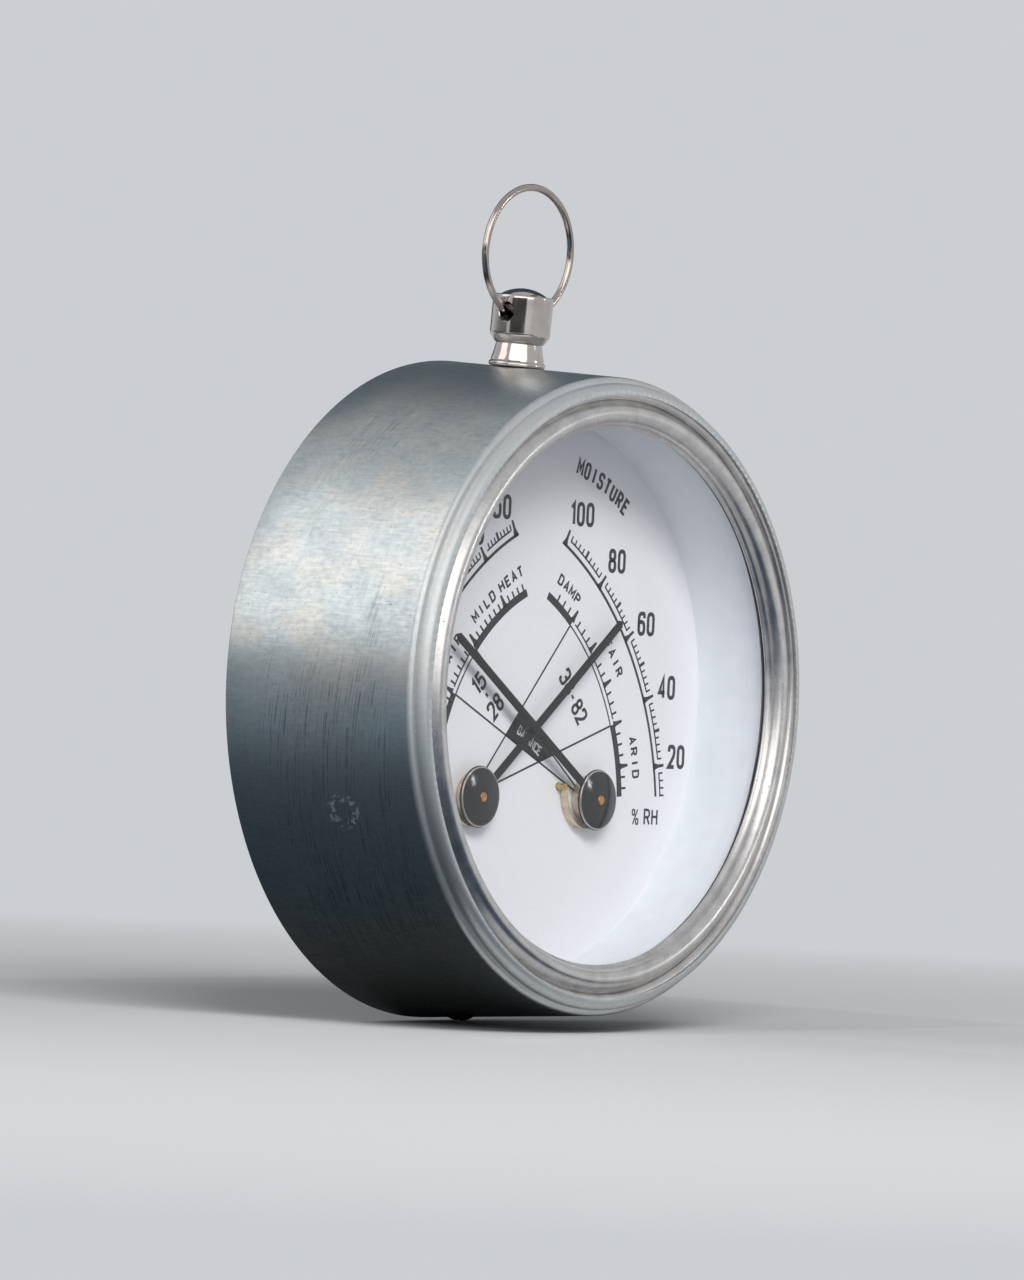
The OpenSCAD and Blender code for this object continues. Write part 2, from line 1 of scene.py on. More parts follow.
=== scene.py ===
"""Looks of a wall thermo-hygrometer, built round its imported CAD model.

Lengths are in mm until a mesh is made. A turned piece is drawn as a section of (radius, height), and the
drum's own heights are measured from the wall plane towards the front.
"""

import json
import math

import bmesh
import bpy
from mathutils import Matrix, Vector


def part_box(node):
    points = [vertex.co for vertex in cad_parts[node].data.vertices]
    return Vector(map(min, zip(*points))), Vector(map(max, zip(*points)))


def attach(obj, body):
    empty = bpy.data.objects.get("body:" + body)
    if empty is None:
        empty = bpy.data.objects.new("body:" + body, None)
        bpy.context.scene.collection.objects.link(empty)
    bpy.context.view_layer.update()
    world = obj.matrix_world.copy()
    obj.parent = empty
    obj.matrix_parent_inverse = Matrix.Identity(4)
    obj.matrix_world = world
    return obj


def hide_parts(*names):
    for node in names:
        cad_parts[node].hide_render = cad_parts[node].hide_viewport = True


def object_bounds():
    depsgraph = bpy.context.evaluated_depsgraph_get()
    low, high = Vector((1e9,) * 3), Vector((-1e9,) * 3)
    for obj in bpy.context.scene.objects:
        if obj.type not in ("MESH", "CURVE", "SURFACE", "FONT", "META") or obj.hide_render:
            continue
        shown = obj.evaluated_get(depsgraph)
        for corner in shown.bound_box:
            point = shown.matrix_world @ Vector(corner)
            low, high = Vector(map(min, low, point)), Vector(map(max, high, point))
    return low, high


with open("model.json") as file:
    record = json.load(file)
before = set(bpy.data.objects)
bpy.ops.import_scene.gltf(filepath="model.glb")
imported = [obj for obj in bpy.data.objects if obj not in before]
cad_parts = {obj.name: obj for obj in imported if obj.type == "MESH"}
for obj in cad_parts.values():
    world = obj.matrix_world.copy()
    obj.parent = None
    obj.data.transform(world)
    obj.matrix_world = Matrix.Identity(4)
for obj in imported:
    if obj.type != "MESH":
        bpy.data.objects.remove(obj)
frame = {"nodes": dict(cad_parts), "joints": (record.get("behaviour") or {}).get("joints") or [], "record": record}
CAD_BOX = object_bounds()
MM = 0.001

# Lays a height axis forwards, away from the wall
UPRIGHT = Matrix(((1, 0, 0, 0), (0, 0, -1, 0), (0, 1, 0, 0), (0, 0, 0, 1)))


def corners(node):
    """A CAD node's low and high corners in mm"""
    low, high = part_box(node)
    return low / MM, high / MM


def radius_of(node):
    """Half the width of a round node"""
    low, high = corners(node)
    return (high.x - low.x) / 2


def back_of(node):
    """Height above the wall of a node's rear"""
    return -corners(node)[1].y


def front_of(node):
    """Height above the wall of a node's front"""
    return -corners(node)[0].y


def middle_of(node):
    """The middle of a node's box in mm"""
    low, high = corners(node)
    return (low + high) / 2


def joint_named(name):
    """What the frame says of a joint"""
    return next(joint for joint in frame["joints"] if joint["name"] == name)


# The drum, with the CAD model's section; angles on a rolled section rise from straight outwards, in degrees
DEPTH = front_of("case")
RIM_H = back_of("case")
REAR_R = radius_of("case")
FRONT_R = 47.9
SHEET = 0.5
NECK_IN = 0.95
SHOULDER_H = DEPTH - 2.8
SHOULDER_END = 88
CURL_R = 1.5
CURL_END = 97
WALL_ROWS = [9, 17, 25]
NECK_R = FRONT_R - NECK_IN
LOBE_R = NECK_R - CURL_R
LOBE_H = DEPTH - CURL_R
TAPER = math.atan((REAR_R - FRONT_R) / (SHOULDER_H - RIM_H))

# The crimp teeth on the rolled edge, which are all but gone at one place round the drum
TEETH = 216
TOOTH_DEPTH = 0.14
TEETH_START = 66
TEETH_RAMP = 20
WORN_PLACE = 212
WORN_SHARE = 0.85

# The bezel under the rolled edge
BEZEL_SHEET = 0.5
GRIP_GAP = 0.02
BEZEL_LOBE = CURL_R - SHEET - GRIP_GAP
GROOVE_W = 0.42
GROOVE_FLOOR = DEPTH - 1.38
BEAD_R = 1.6
BEAD_C = LOBE_R - BEZEL_LOBE - GROOVE_W - BEAD_R
BEAD_H = DEPTH - BEAD_R
OPENING_R = BEAD_C - BEAD_R
FLANGE_BACK = back_of("bezel_ring")
FLANGE_IN = 0.65

# What the bezel looks in on
DIAL_FACE = front_of("dial_plate")
LENS_R = radius_of("lens")
SLEEVE_R = LENS_R - 1.4
SLEEVE_WALL = 1.1
HUB_X = middle_of("temp_cap").x
HUB_Z = middle_of("temp_cap").z
CAP_R = radius_of("temp_cap")
CAP_RIM_WIDTH = 0.22
CAP_RIM_RISE = 0.25
STAFF_R = radius_of("temp_staff")
POINTER_LENGTH = 43.4
POINTER_TILT = {"humidity": 39.2, "temp": 33.7}

# The knob, with heights along its own axis, and the ring in its cross hole
RING_JOINT = joint_named("ring_swing")
KNOB_HOLE = Vector(RING_JOINT["pos_m"]) / MM
KNOB_AXIS = Vector((0, -math.sin(TAPER), math.cos(TAPER)))
HOLE_H = 8.2
HOLE_R = 1.25
FOOT_R = 4.35
WAIST_R = 3.5
BARREL_R = 4.6
RING_SKEW = 7.585
WIRE_R = 0.55
RING_MIDDLE = middle_of("hanger_ring")
RING_R = (corners("hanger_ring")[1].z - corners("hanger_ring")[0].z) / 2 - WIRE_R


def arc(centre, radius, start, end, steps):
    """Points of an arc from one angle in degrees to another"""
    points = []
    for i in range(steps + 1):
        angle = math.radians(start + (end - start) * i / steps)
        points.append((centre[0] + radius * math.cos(angle), centre[1] + radius * math.sin(angle)))
    return points


def dome(edge_r, rise, top, steps):
    """The section of a shallow dome from its edge up to the axis"""
    ball = (edge_r ** 2 + rise ** 2) / (2 * rise)
    spread = math.degrees(math.asin(edge_r / ball))
    return arc((0, top - ball), ball, 90 - spread, 90, steps)


def make_piece(name, bm, place, finish, body, sharp=40):
    """Turns a mesh drawn in mm into a finished piece that rides on a body"""
    bmesh.ops.transform(bm, matrix=Matrix.Scale(MM, 4) @ place, verts=bm.verts)
    bmesh.ops.remove_doubles(bm, verts=bm.verts, dist=1e-7)
    bmesh.ops.recalc_face_normals(bm, faces=bm.faces)
    mesh = bpy.data.meshes.new(name)
    bm.to_mesh(mesh)
    bm.free()
    mesh.polygons.foreach_set("use_smooth", [True] * len(mesh.polygons))
    mesh.set_sharp_from_angle(angle=math.radians(sharp))
    piece = bpy.data.objects.new(name, mesh)
    bpy.context.collection.objects.link(piece)
    mesh.materials.append(finish)
    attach(piece, body)
    return piece


def lathe(section, steps, press=None):
    """Turns a closed section about the height axis; press may move a point by its place and turn"""
    bm = bmesh.new()
    rings = []
    for i in range(steps):
        turn = 2 * math.pi * i / steps
        ring = []
        for r, h in section:
            if press:
                r, h = press(r, h, turn)
            ring.append(bm.verts.new((r * math.cos(turn), r * math.sin(turn), h)))
        rings.append(ring)
    count = len(section)
    for i in range(steps):
        one = rings[i]
        two = rings[(i + 1) % steps]
        for j in range(count):
            k = (j + 1) % count
            on_axis = [section[j][0] == 0, section[k][0] == 0]
            if on_axis == [True, True]:
                continue
            if on_axis[0]:
                bm.faces.new((one[j], two[k], one[k]))
            elif on_axis[1]:
                bm.faces.new((one[j], two[j], one[k]))
            else:
                bm.faces.new((one[j], two[j], two[k], one[k]))
    return bm


def case_radius(h):
    """Outside radius of the tapered wall at a height"""
    return REAR_R - math.tan(TAPER) * (h - RIM_H)


def crimp(r, h, turn):
    """Fine, uneven teeth where the rolled edge is pressed down on the bezel"""
    lift = math.degrees(math.atan2(h - LOBE_H, r - LOBE_R))
    if lift < TEETH_START:
        return r, h
    reach = math.hypot(r - LOBE_R, h - LOBE_H)
    wobble = 1.5 * math.sin(3 * turn + 1) + 0.8 * math.sin(11 * turn)
    tooth = max(0, math.cos(TEETH * turn + wobble)) ** 1.5
    uneven = 0.75 + 0.25 * math.sin(17 * turn + 2) * math.sin(5 * turn)
    worn = WORN_SHARE * max(0, math.cos(turn - math.radians(WORN_PLACE))) ** 4
    ramp = min(1, (lift - TEETH_START) / TEETH_RAMP)
    lower = (reach - TOOTH_DEPTH * tooth * uneven * (1 - worn) * ramp) / reach
    return LOBE_R + (r - LOBE_R) * lower, LOBE_H + (h - LOBE_H) * lower


def case_section():
    """The wall, the drawn-in shoulder and the rolled edge, outside and back inside"""
    curl_start = -12
    inner_curl_start = -38
    rim_r = case_radius(RIM_H + SHEET / 2) - SHEET / 2
    rim = arc((rim_r, RIM_H + SHEET / 2), SHEET / 2, 180, 360, 8)
    wall = [(case_radius(h), h) for h in WALL_ROWS]
    shoulder = arc((NECK_R, SHOULDER_H), NECK_IN, 0, SHOULDER_END, 10)
    curl = arc((LOBE_R, LOBE_H), CURL_R, curl_start, CURL_END, 26)
    inner_curl = arc((LOBE_R, LOBE_H), CURL_R - SHEET, CURL_END, inner_curl_start, 16)
    inner_shoulder = arc((NECK_R, SHOULDER_H), NECK_IN - SHEET, SHOULDER_END, 0, 5)
    inner_wall = [(case_radius(h) - SHEET, h) for h in reversed(WALL_ROWS)]
    return rim + wall + shoulder + curl + inner_curl + inner_shoulder + inner_wall


def bezel_section():
    """The lobe that the rolled edge grips, the groove, the bead and the return flange"""
    lobe_start = -20
    lobe_end = 165
    bead_flank = 46
    groove_r = LOBE_R - BEZEL_LOBE + 0.06
    inner_lobe = BEZEL_LOBE - BEZEL_SHEET
    inner_bead = BEAD_R - BEZEL_SHEET
    flange = (OPENING_R - FLANGE_IN + BEZEL_SHEET / 2, FLANGE_BACK + BEZEL_SHEET / 2)
    points = arc((LOBE_R, LOBE_H), BEZEL_LOBE, lobe_start, lobe_end, 23)
    points += [(groove_r, GROOVE_FLOOR)]
    points += arc((BEAD_C, BEAD_H), BEAD_R, bead_flank, 180, 24)
    points += arc(flange, BEZEL_SHEET / 2, 90, 270, 6)
    points += [(OPENING_R + BEZEL_SHEET, FLANGE_BACK)]
    points += arc((BEAD_C, BEAD_H), inner_bead, 180, 0, 16)
    points += [(BEAD_C + inner_bead, BEAD_H - BEZEL_SHEET), (LOBE_R - inner_lobe, BEAD_H - BEZEL_SHEET)]
    points += arc((LOBE_R, LOBE_H), inner_lobe, 180, lobe_start, 12)
    return points


def sleeve_section():
    """A thin wall with a collar at each end, and a lip beside the glass"""
    collar = 1.2
    clearance = 0.3
    low = DIAL_FACE
    top = back_of("lens")
    lip_top = front_of("dial_sleeve")
    lip_in = LENS_R + clearance
    lip_out = lip_in + 1
    wall_out = SLEEVE_R + SLEEVE_WALL
    rear_out = case_radius(low + collar) - SHEET - clearance
    front_out = case_radius(lip_top) - SHEET - clearance
    return [
        (SLEEVE_R, low), (rear_out, low), (rear_out, low + collar), (wall_out, low + collar),
        (wall_out, top - collar), (front_out, top - collar), (front_out, top),
        (lip_out, top), (lip_out, lip_top), (lip_in, lip_top), (lip_in, top), (SLEEVE_R, top),
    ]


def knob_section():
    """Foot, flare, waist, chamfered barrel and crown, up one side of the axis"""
    foot_round = 0.4
    barrel_round = 0.35
    barrel_top = 10.9
    crown_r = 3.55
    crown_rise = 1.1
    foot = arc((FOOT_R - foot_round, foot_round), foot_round, -90, 60, 8)
    flare = [(4.05, 0.82), (4.05, 1.15), (3.9, 1.62), (3.75, 2.15), (3.62, 2.8), (WAIST_R, 3.5)]
    chamfer = [(3.85, 3.68), (4.5, 4.68), (4.57, 4.82)]
    barrel = [(BARREL_R, 5.0), (BARREL_R, 5.2), (BARREL_R, 10.3)]
    barrel += arc((BARREL_R - barrel_round, barrel_top - barrel_round), barrel_round, 0, 90, 6)
    crown = dome(crown_r, crown_rise, barrel_top + crown_rise, 10)
    crown[-1] = (0, crown[-1][1])
    return [(0, 0)] + foot + flare + chamfer + barrel + crown


def along(axis, toward):
    """A frame whose height axis is the given direction"""
    up = axis.normalized()
    side = (toward - toward.dot(up) * up).normalized()
    third = up.cross(side)
    return Matrix((side, third, up)).transposed().to_4x4()


def knob_place():
    """The knob's own frame: height along its axis, with its cross hole along the first axis"""
    hole = Vector(RING_JOINT["axis"])
    return Matrix.Translation(KNOB_HOLE - HOLE_H * KNOB_AXIS) @ along(KNOB_AXIS, hole)


def make_knob(finish):
    """The turned knob with its cross hole, which widens to both sides"""
    half_drill = 6
    mouth = 1.75
    bm = lathe(knob_section(), 192)
    blank = make_piece("hanging_knob", bm, knob_place(), finish, "housing")
    bit = [(0, -half_drill), (HOLE_R + mouth, -half_drill), (HOLE_R, mouth - half_drill),
           (HOLE_R, half_drill - mouth), (HOLE_R + mouth, half_drill), (0, half_drill)]
    turn_over = Matrix.Translation((0, 0, HOLE_H)) @ Matrix.Rotation(math.radians(90), 4, "Y")
    drill = make_piece("drill", lathe(bit, 64), knob_place() @ turn_over, finish, "housing")
    cut = blank.modifiers.new("cross_hole", "BOOLEAN")
    cut.operation = "DIFFERENCE"
    cut.solver = "EXACT"
    cut.object = drill
    bpy.context.view_layer.update()
    shape = blank.evaluated_get(bpy.context.evaluated_depsgraph_get())
    mesh = bpy.data.meshes.new_from_object(shape)
    blank.modifiers.clear()
    blank.data = mesh
    mesh.set_sharp_from_angle(angle=math.radians(32))
    bpy.data.objects.remove(drill)
    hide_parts("hanger_knob")


def make_ring(finish):
    """The wire ring, which stands a little askew in the knob's hole"""
    axis = Matrix.Rotation(math.radians(-RING_SKEW), 3, KNOB_AXIS) @ Vector(RING_JOINT["axis"])
    place = Matrix.Translation(RING_MIDDLE) @ along(axis.cross(KNOB_AXIS), KNOB_AXIS)
    wire = arc((RING_R, 0), WIRE_R, 0, 360, 24)[:-1]
    ring = make_piece("hanging_ring", lathe(wire, 256), place, finish, "hanging_ring")
    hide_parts("hanger_ring")


def hub_place(side):
    """A hub's own frame, with height away from the wall; side is -1 at the left and 1 at the right"""
    return UPRIGHT @ Matrix.Translation((side * HUB_X, HUB_Z, 0))


def make_cap(name, side, finish, rim_finish):
    """A low dome in a thin bright rim, with a dimple where the staff comes through"""
    node = name + "_cap"
    low = back_of(node)
    top = front_of(node)
    dome_r = CAP_R - CAP_RIM_WIDTH
    dimple_r = STAFF_R + 0.18
    dimple = [(0.1, 0.035), (0, 0.12)]
    face = dome(dome_r, top - low - CAP_RIM_RISE, top, 40)
    section = [(STAFF_R, low), (dome_r, low)] + [(r, h) for r, h in face if r > dimple_r]
    section += [(STAFF_R + out, top - down) for out, down in dimple]
    bm = lathe(section, 160)
    cap = make_piece(node + "_dome", bm, hub_place(side), finish, name + "_hand", 50)
    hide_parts(node)
    seam = dome_r + 0.01
    rim_round = 0.12
    rim_top = low + CAP_RIM_RISE
    rim = [(seam, low), (CAP_R, low)]
    rim += arc((CAP_R - rim_round, rim_top - rim_round), rim_round, 0, 90, 6)
    rim += [(seam, rim_top)]
    bm = lathe(rim, 160)
    make_piece(node + "_rim", bm, hub_place(side), rim_finish, name + "_hand", 50)


def make_staff(name, side, finish):
    """The staff with the small turned chamfer and centre mark that shows in the cap"""
    node = name + "_staff"
    low = back_of(node)
    tip = front_of(node)
    chamfer = 0.12
    mark_r = 0.22
    mark_depth = 0.1
    section = [(0, low), (STAFF_R, low), (STAFF_R, tip - chamfer), (STAFF_R - chamfer, tip)]
    section += [(mark_r, tip), (0, tip - mark_depth)]
    bm = lathe(section, 48)
    staff = make_piece(node + "_turned", bm, hub_place(side), finish, name + "_hand")
    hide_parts(node)


def plate(outline, low, thick, bevel):
    """A flat piece cut from sheet, with softened edges"""
    bm = bmesh.new()
    face = bm.faces.new([bm.verts.new((x, y, low)) for x, y in outline])
    grown = bmesh.ops.extrude_face_region(bm, geom=[face])
    top = [item for item in grown["geom"] if isinstance(item, bmesh.types.BMVert)]
    bmesh.ops.translate(bm, verts=top, vec=(0, 0, thick))
    rims = [edge for edge in bm.edges if abs(edge.verts[0].co.z - edge.verts[1].co.z) < thick / 2]
    bmesh.ops.bevel(bm, geom=rims, offset=bevel, segments=2, affect="EDGES", profile=0.5)
    return bm


def make_pointer(name, side, finish):
    """A disc and a slim bar with a bevelled end, cut in one piece"""
    node = name + "_pointer"
    low = back_of(node)
    disc_r = 4.65
    half = 0.675
    nib = 0.12
    bevel = 0.04
    shoulder = POINTER_LENGTH - half
    tip = POINTER_LENGTH - nib
    start = math.degrees(math.asin(half / disc_r))
    disc = arc((0, 0), disc_r, start, 360 - start, 72)
    bar = [(shoulder, -half), (tip, -nib), (tip, nib), (shoulder, half)]
    turn = POINTER_TILT[name] if side < 0 else 180 - POINTER_TILT[name]
    place = hub_place(side) @ Matrix.Rotation(math.radians(turn), 4, "Z")
    bm = plate(disc + bar, low, front_of(node) - low, bevel)
    pointer = make_piece(node + "_blade", bm, place, finish, name + "_hand")
    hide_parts(node)


# Letters as strokes on a grid; a corner's third number rounds it, and the star draws a degree's ring
GLYPH_HEIGHT = 8
GLYPHS = {
    "0": [[(0, 0, 2), (4, 0, 2), (4, 8, 2), (0, 8, 2), "close"]],
    "1": [[(0.5, 6.3), (2.2, 8), (2.2, 0)]],
    "2": [[(0, 6), (0, 8, 2), (4, 8, 2), (4, 4.6, 2), (0, 0), (4, 0)]],
    "3": [[(0, 6.2), (0, 8, 2), (4, 8, 2), (4, 4.2, 1.8), (1.6, 4.2)],
          [(3, 4.2), (4, 4.2, 1), (4, 0, 2), (0, 0, 2), (0, 1.8)]],
    "4": [[(3, 0), (3, 8), (0, 2), (4, 2)]],
    "5": [[(3.7, 8), (0.4, 8), (0.2, 4.3), (0.9, 5, 0.7), (4, 5, 2), (4, 0, 2), (0, 0, 2), (0, 1.7)]],
    "6": [[(4, 6.2), (4, 8, 2), (0, 8, 2), (0, 0, 2), (4, 0, 2), (4, 4.7, 2), (0, 4.7, 2), (0, 2.6)]],
    "8": [[(0, 0, 2), (4, 0, 2), (4, 4.3, 2), (0, 4.3, 2), "close"],
          [(0.2, 4.3, 1.8), (3.8, 4.3, 1.8), (3.8, 8, 1.8), (0.2, 8, 1.8), "close"]],
    "-": [[(0.4, 3.8), (3.6, 3.8)]],
    "%": [[(0, 5, 0.9), (1.8, 5, 0.9), (1.8, 8, 0.9), (0, 8, 0.9), "close"], [(4.2, 8), (0.6, 0)],
          [(3, 0, 0.9), (4.8, 0, 0.9), (4.8, 3, 0.9), (3, 3, 0.9), "close"]],
    "*": [[(0, 6, 0.9), (1.8, 6, 0.9), (1.8, 8, 0.9), (0, 8, 0.9), "close"]],
    "A": [[(0, 0), (2, 8), (4, 0)], [(0.7, 2.5), (3.3, 2.5)]],
    "B": [[(0, 4.2), (0, 8), (3.7, 8, 1.8), (3.7, 4.2, 1.8), (0, 4.2)],
          [(0, 4.2), (4, 4.2, 2), (4, 0, 2), (0, 0), (0, 4.2)]],
    "C": [[(4, 6), (4, 8, 2), (0, 8, 2), (0, 0, 2), (4, 0, 2), (4, 2)]],
    "D": [[(0, 0), (0, 8), (4, 8, 2.4), (4, 0, 2.4), "close"]],
    "E": [[(3.8, 8), (0, 8), (0, 0), (3.8, 0)], [(0, 4.2), (3.3, 4.2)]],
    "F": [[(3.8, 8), (0, 8), (0, 0)], [(0, 4.2), (3.3, 4.2)]],
    "H": [[(0, 0), (0, 8)], [(4, 0), (4, 8)], [(0, 4.2), (4, 4.2)]],
    "I": [[(0.3, 0), (0.3, 8)]],
    "L": [[(0, 8), (0, 0), (3.6, 0)]],
    "M": [[(0, 0), (0, 8), (2.4, 2.6), (4.8, 8), (4.8, 0)]],
    "N": [[(0, 0), (0, 8), (4, 0), (4, 8)]],
    "O": [[(0, 0, 2), (4, 0, 2), (4, 8, 2), (0, 8, 2), "close"]],
    "P": [[(0, 0), (0, 8), (4, 8, 2), (4, 3.9, 2), (0, 3.9)]],
    "R": [[(0, 0), (0, 8), (4, 8, 2), (4, 3.9, 2), (0, 3.9)], [(2.2, 3.9), (4, 0)]],
    "S": [[(4, 6.2), (4, 8, 1.9), (0, 8, 1.9), (0, 4.1, 1.9), (4, 4.1, 1.9), (4, 0, 1.9), (0, 0, 1.9),
           (0, 1.8)]],
    "T": [[(0, 8), (4, 8)], [(2, 8), (2, 0)]],
    "U": [[(0, 8), (0, 0, 2), (4, 0, 2), (4, 8)]],
    "W": [[(0, 8), (1.3, 0), (2.6, 6.6), (3.9, 0), (5.2, 8)]],
}


def soften(stroke, closed):
    """Rounds the corners of a stroke that name a radius"""
    steps = 6
    fullness = 1.9
    points = []
    count = len(stroke)
    for i, corner in enumerate(stroke):
        here = Vector(corner[:2])
        at_end = not closed and i in (0, count - 1)
        if len(corner) < 3 or at_end:
            points.append(here)
            continue
        before = Vector(stroke[i - 1][:2]) - here
        after = Vector(stroke[(i + 1) % count][:2]) - here
        reach = min(corner[2], before.length * 0.5, after.length * 0.5)
        start = here + before.normalized() * reach
        end = here + after.normalized() * reach
        for k in range(steps + 1):
            t = k / steps
            bulge = t * (1 - t)
            flattened = (start + end) * (bulge * (2 - fullness) / 2)
            points.append(start * (1 - t) ** 2 + here * (fullness * bulge) + end * t ** 2 + flattened)
    return points


def glyph_width(letter):
    """How far a letter reaches along its grid"""
    return max(point[0] for stroke in GLYPHS[letter] for point in stroke if point != "close")


# Each style's letter height and line width in mm, its stretch, and the gap between letters on their grid
STYLES = {
    "number": (3.15, 0.62, 0.87, 2.9),
    "name": (2.25, 0.52, 0.88, 1.7),
    "zone": (1.45, 0.36, 1.3, 1.7),
    "range": (2.6, 0.5, 0.95, 2.2),
    "dash": (2.2, 0.45, 0.8, 1.7),
    "percent": (2.25, 0.27, 1.1, 1.7),
    "unit": (2.25, 0.38, 1.1, 2.4),
    "white": (1.3, 0.26, 1.0, 2.0),
}


class Print:
    """Ink drawn on the dial as thin raised strokes, in the dial's own x and z"""

    def __init__(self, low, high):
        self.bm = bmesh.new()
        self.low = low
        self.high = high

    def patch(self, outline):
        """A filled outline"""
        floor = [self.bm.verts.new((x, z, self.low)) for x, z in outline]
        top = [self.bm.verts.new((x, z, self.high)) for x, z in outline]
        self.bm.faces.new(floor[::-1])
        self.bm.faces.new(top)
        for i in range(len(outline)):
            k = (i + 1) % len(outline)
            self.bm.faces.new((floor[i], floor[k], top[k], top[i]))

    def line(self, points, width, closed=False):
        """A stroke of even width through the points, mitred at its corners, less far at sharp ones"""
        least_lean = 0.45
        points = [Vector(p) for p in points]
        count = len(points)
        levels = []
        for i, here in enumerate(points):
            before = points[i - 1] if i or closed else here
            after = points[(i + 1) % count] if i < count - 1 or closed else here
            into = (here - before).normalized() if before != here else (after - here).normalized()
            out = (after - here).normalized() if after != here else into
            across = Vector((-into.y - out.y, into.x + out.x)).normalized()
            lean = max(least_lean, across.dot(Vector((-into.y, into.x))))
            side = across * (width / 2 / lean)
            levels.append([self.bm.verts.new((*(here + side * s), h))
                           for s, h in ((1, self.low), (-1, self.low), (-1, self.high), (1, self.high))])
        for i in range(count if closed else count - 1):
            one = levels[i]
            two = levels[(i + 1) % count]
            for j in range(4):
                k = (j + 1) % 4
                self.bm.faces.new((one[j], two[j], two[k], one[k]))
        if not closed:
            self.bm.faces.new(levels[0])
            self.bm.faces.new(levels[-1][::-1])

    def word(self, text, middle, turn, style):
        """A word centred on a point and turned by an angle in degrees"""
        height, weight, stretch, gap = STYLES[style]
        unit = height / GLYPH_HEIGHT
        widths = [glyph_width(letter) for letter in text]
        total = (sum(widths) + gap * (len(text) - 1)) * unit * stretch
        spin = Matrix.Rotation(math.radians(turn), 2)
        pen = -total / 2
        for letter, width in zip(text, widths):
            for stroke in GLYPHS[letter]:
                closed = stroke[-1] == "close"
                path = soften(stroke[:-1] if closed else stroke, closed)
                local = [Vector((pen + p.x * unit * stretch, p.y * unit - height / 2)) for p in path]
                self.line([Vector(middle) + spin @ p for p in local], weight, closed)
            pen += (width + gap) * unit * stretch

    def finish(self, name, material, slot):
        """Makes all that was drawn one piece"""
        return make_piece(name, self.bm, UPRIGHT, material, "housing", 30)


HUB = Vector((-HUB_X, HUB_Z))
HUMIDITY = -1
TEMP = 1

# Each curve's centre and radius, drawn for the left hub; the temperature side is mirrored
OUTER = {HUMIDITY: (Vector((-17.5, -21.2)), 50.1), TEMP: (Vector((-14.45, -18.4)), 46.65)}
INNER = {HUMIDITY: (Vector((-14.5, -18.4)), 36.95), TEMP: (Vector((-11.0, -15.9)), 33.3)}

# Angles above the level at a scale's own hub: its numbers, its inner marks, its ends and its comfortable zone
NUMBER_MARKS = {HUMIDITY: [62.0, 47.65, 33.8, 20.1, 6.65], TEMP: [63.1 - 10.5 * i for i in range(7)]}
ZONE_MARKS = {HUMIDITY: [49.4 - 10.35 * i for i in range(5)], TEMP: [52.6 - 14 * i for i in range(4)]}
ZONE_PARTS = {HUMIDITY: 4, TEMP: 7}
SCALE_END = {HUMIDITY: 0.85, TEMP: -0.5}
ZONE_START = {HUMIDITY: 61.2, TEMP: 61.6}
ZONE_END = 0.85
COMFORT = {HUMIDITY: (18.45, 49.2), TEMP: (24.6, 37.5)}

# The printed lines' widths, and how far out from its curve a mark starts and ends
HEAVY_LINE = 0.48
FINE_LINE = 0.28
COMB_OUT = 1.15
COMB_TIP = 2.1
FIFTH_TIP = 2.5
FIFTH_LINE = 0.5
BAND_OUT = 0.55
BAND_LINE = 1.2
TWIN_OUTS = (0.1, 1.0)
TWIN_LINE = 0.26
ZONE_COMB_OUT = 1.0
ZONE_COMB_TIP = 2.2
ZONE_COMB_LINE = 0.34
LIMIT_LINE = 0.3

# Heights of the dark ink, and of the white ink on top of it
INK_LEVELS = (DIAL_FACE - 0.01, DIAL_FACE + 0.03)
WHITE_LEVELS = (DIAL_FACE + 0.02, DIAL_FACE + 0.05)

# A wedge's levels, each a distance out from the curve and a width there
NUMBER_WEDGE = [(-0.2, 1.4), (0.55, 0.85), (1.1, 0.55), (2.5, 0.42)]
ZONE_WEDGE = [(0.9, 1.2), (1.6, 0.7), (3.0, 0.4)]


def on_curve(side, curve, angle, out=0.0):
    """The place out from a curve on the line from the side's hub at an angle above the level"""
    centre, radius = curve[side]
    radius += out
    ray = Vector((math.cos(math.radians(angle)), math.sin(math.radians(angle))))
    from_centre = HUB - centre
    reach = -from_centre.dot(ray)
    spot = HUB + ray * (reach + math.sqrt(reach ** 2 + radius ** 2 - from_centre.length_squared))
    return Vector((-side * spot.x, spot.y))


def scale_arc(ink, side, curve, start, end, out, width):
    """Part of a scale's curve between two angles seen from the hub"""
    steps = max(2, int(abs(end - start) / 2))
    angles = [start + (end - start) * i / steps for i in range(steps + 1)]
    ink.line([on_curve(side, curve, angle, out) for angle in angles], width)


def tick(ink, side, curve, angle, low, high, width):
    """A straight mark between two distances out from a curve"""
    ink.line([on_curve(side, curve, angle, low), on_curve(side, curve, angle, high)], width)


def wedge(ink, side, curve, angle, levels):
    """A mark that narrows outwards; each level is a distance out from the curve and a width there"""
    spots = [(on_curve(side, curve, angle, out), width / 2) for out, width in levels]
    along_mark = (spots[-1][0] - spots[0][0]).normalized()
    across = Vector((-along_mark.y, along_mark.x))
    outline = [spot + across * half for spot, half in spots]
    outline += [spot - across * half for spot, half in reversed(spots)]
    ink.patch(outline)


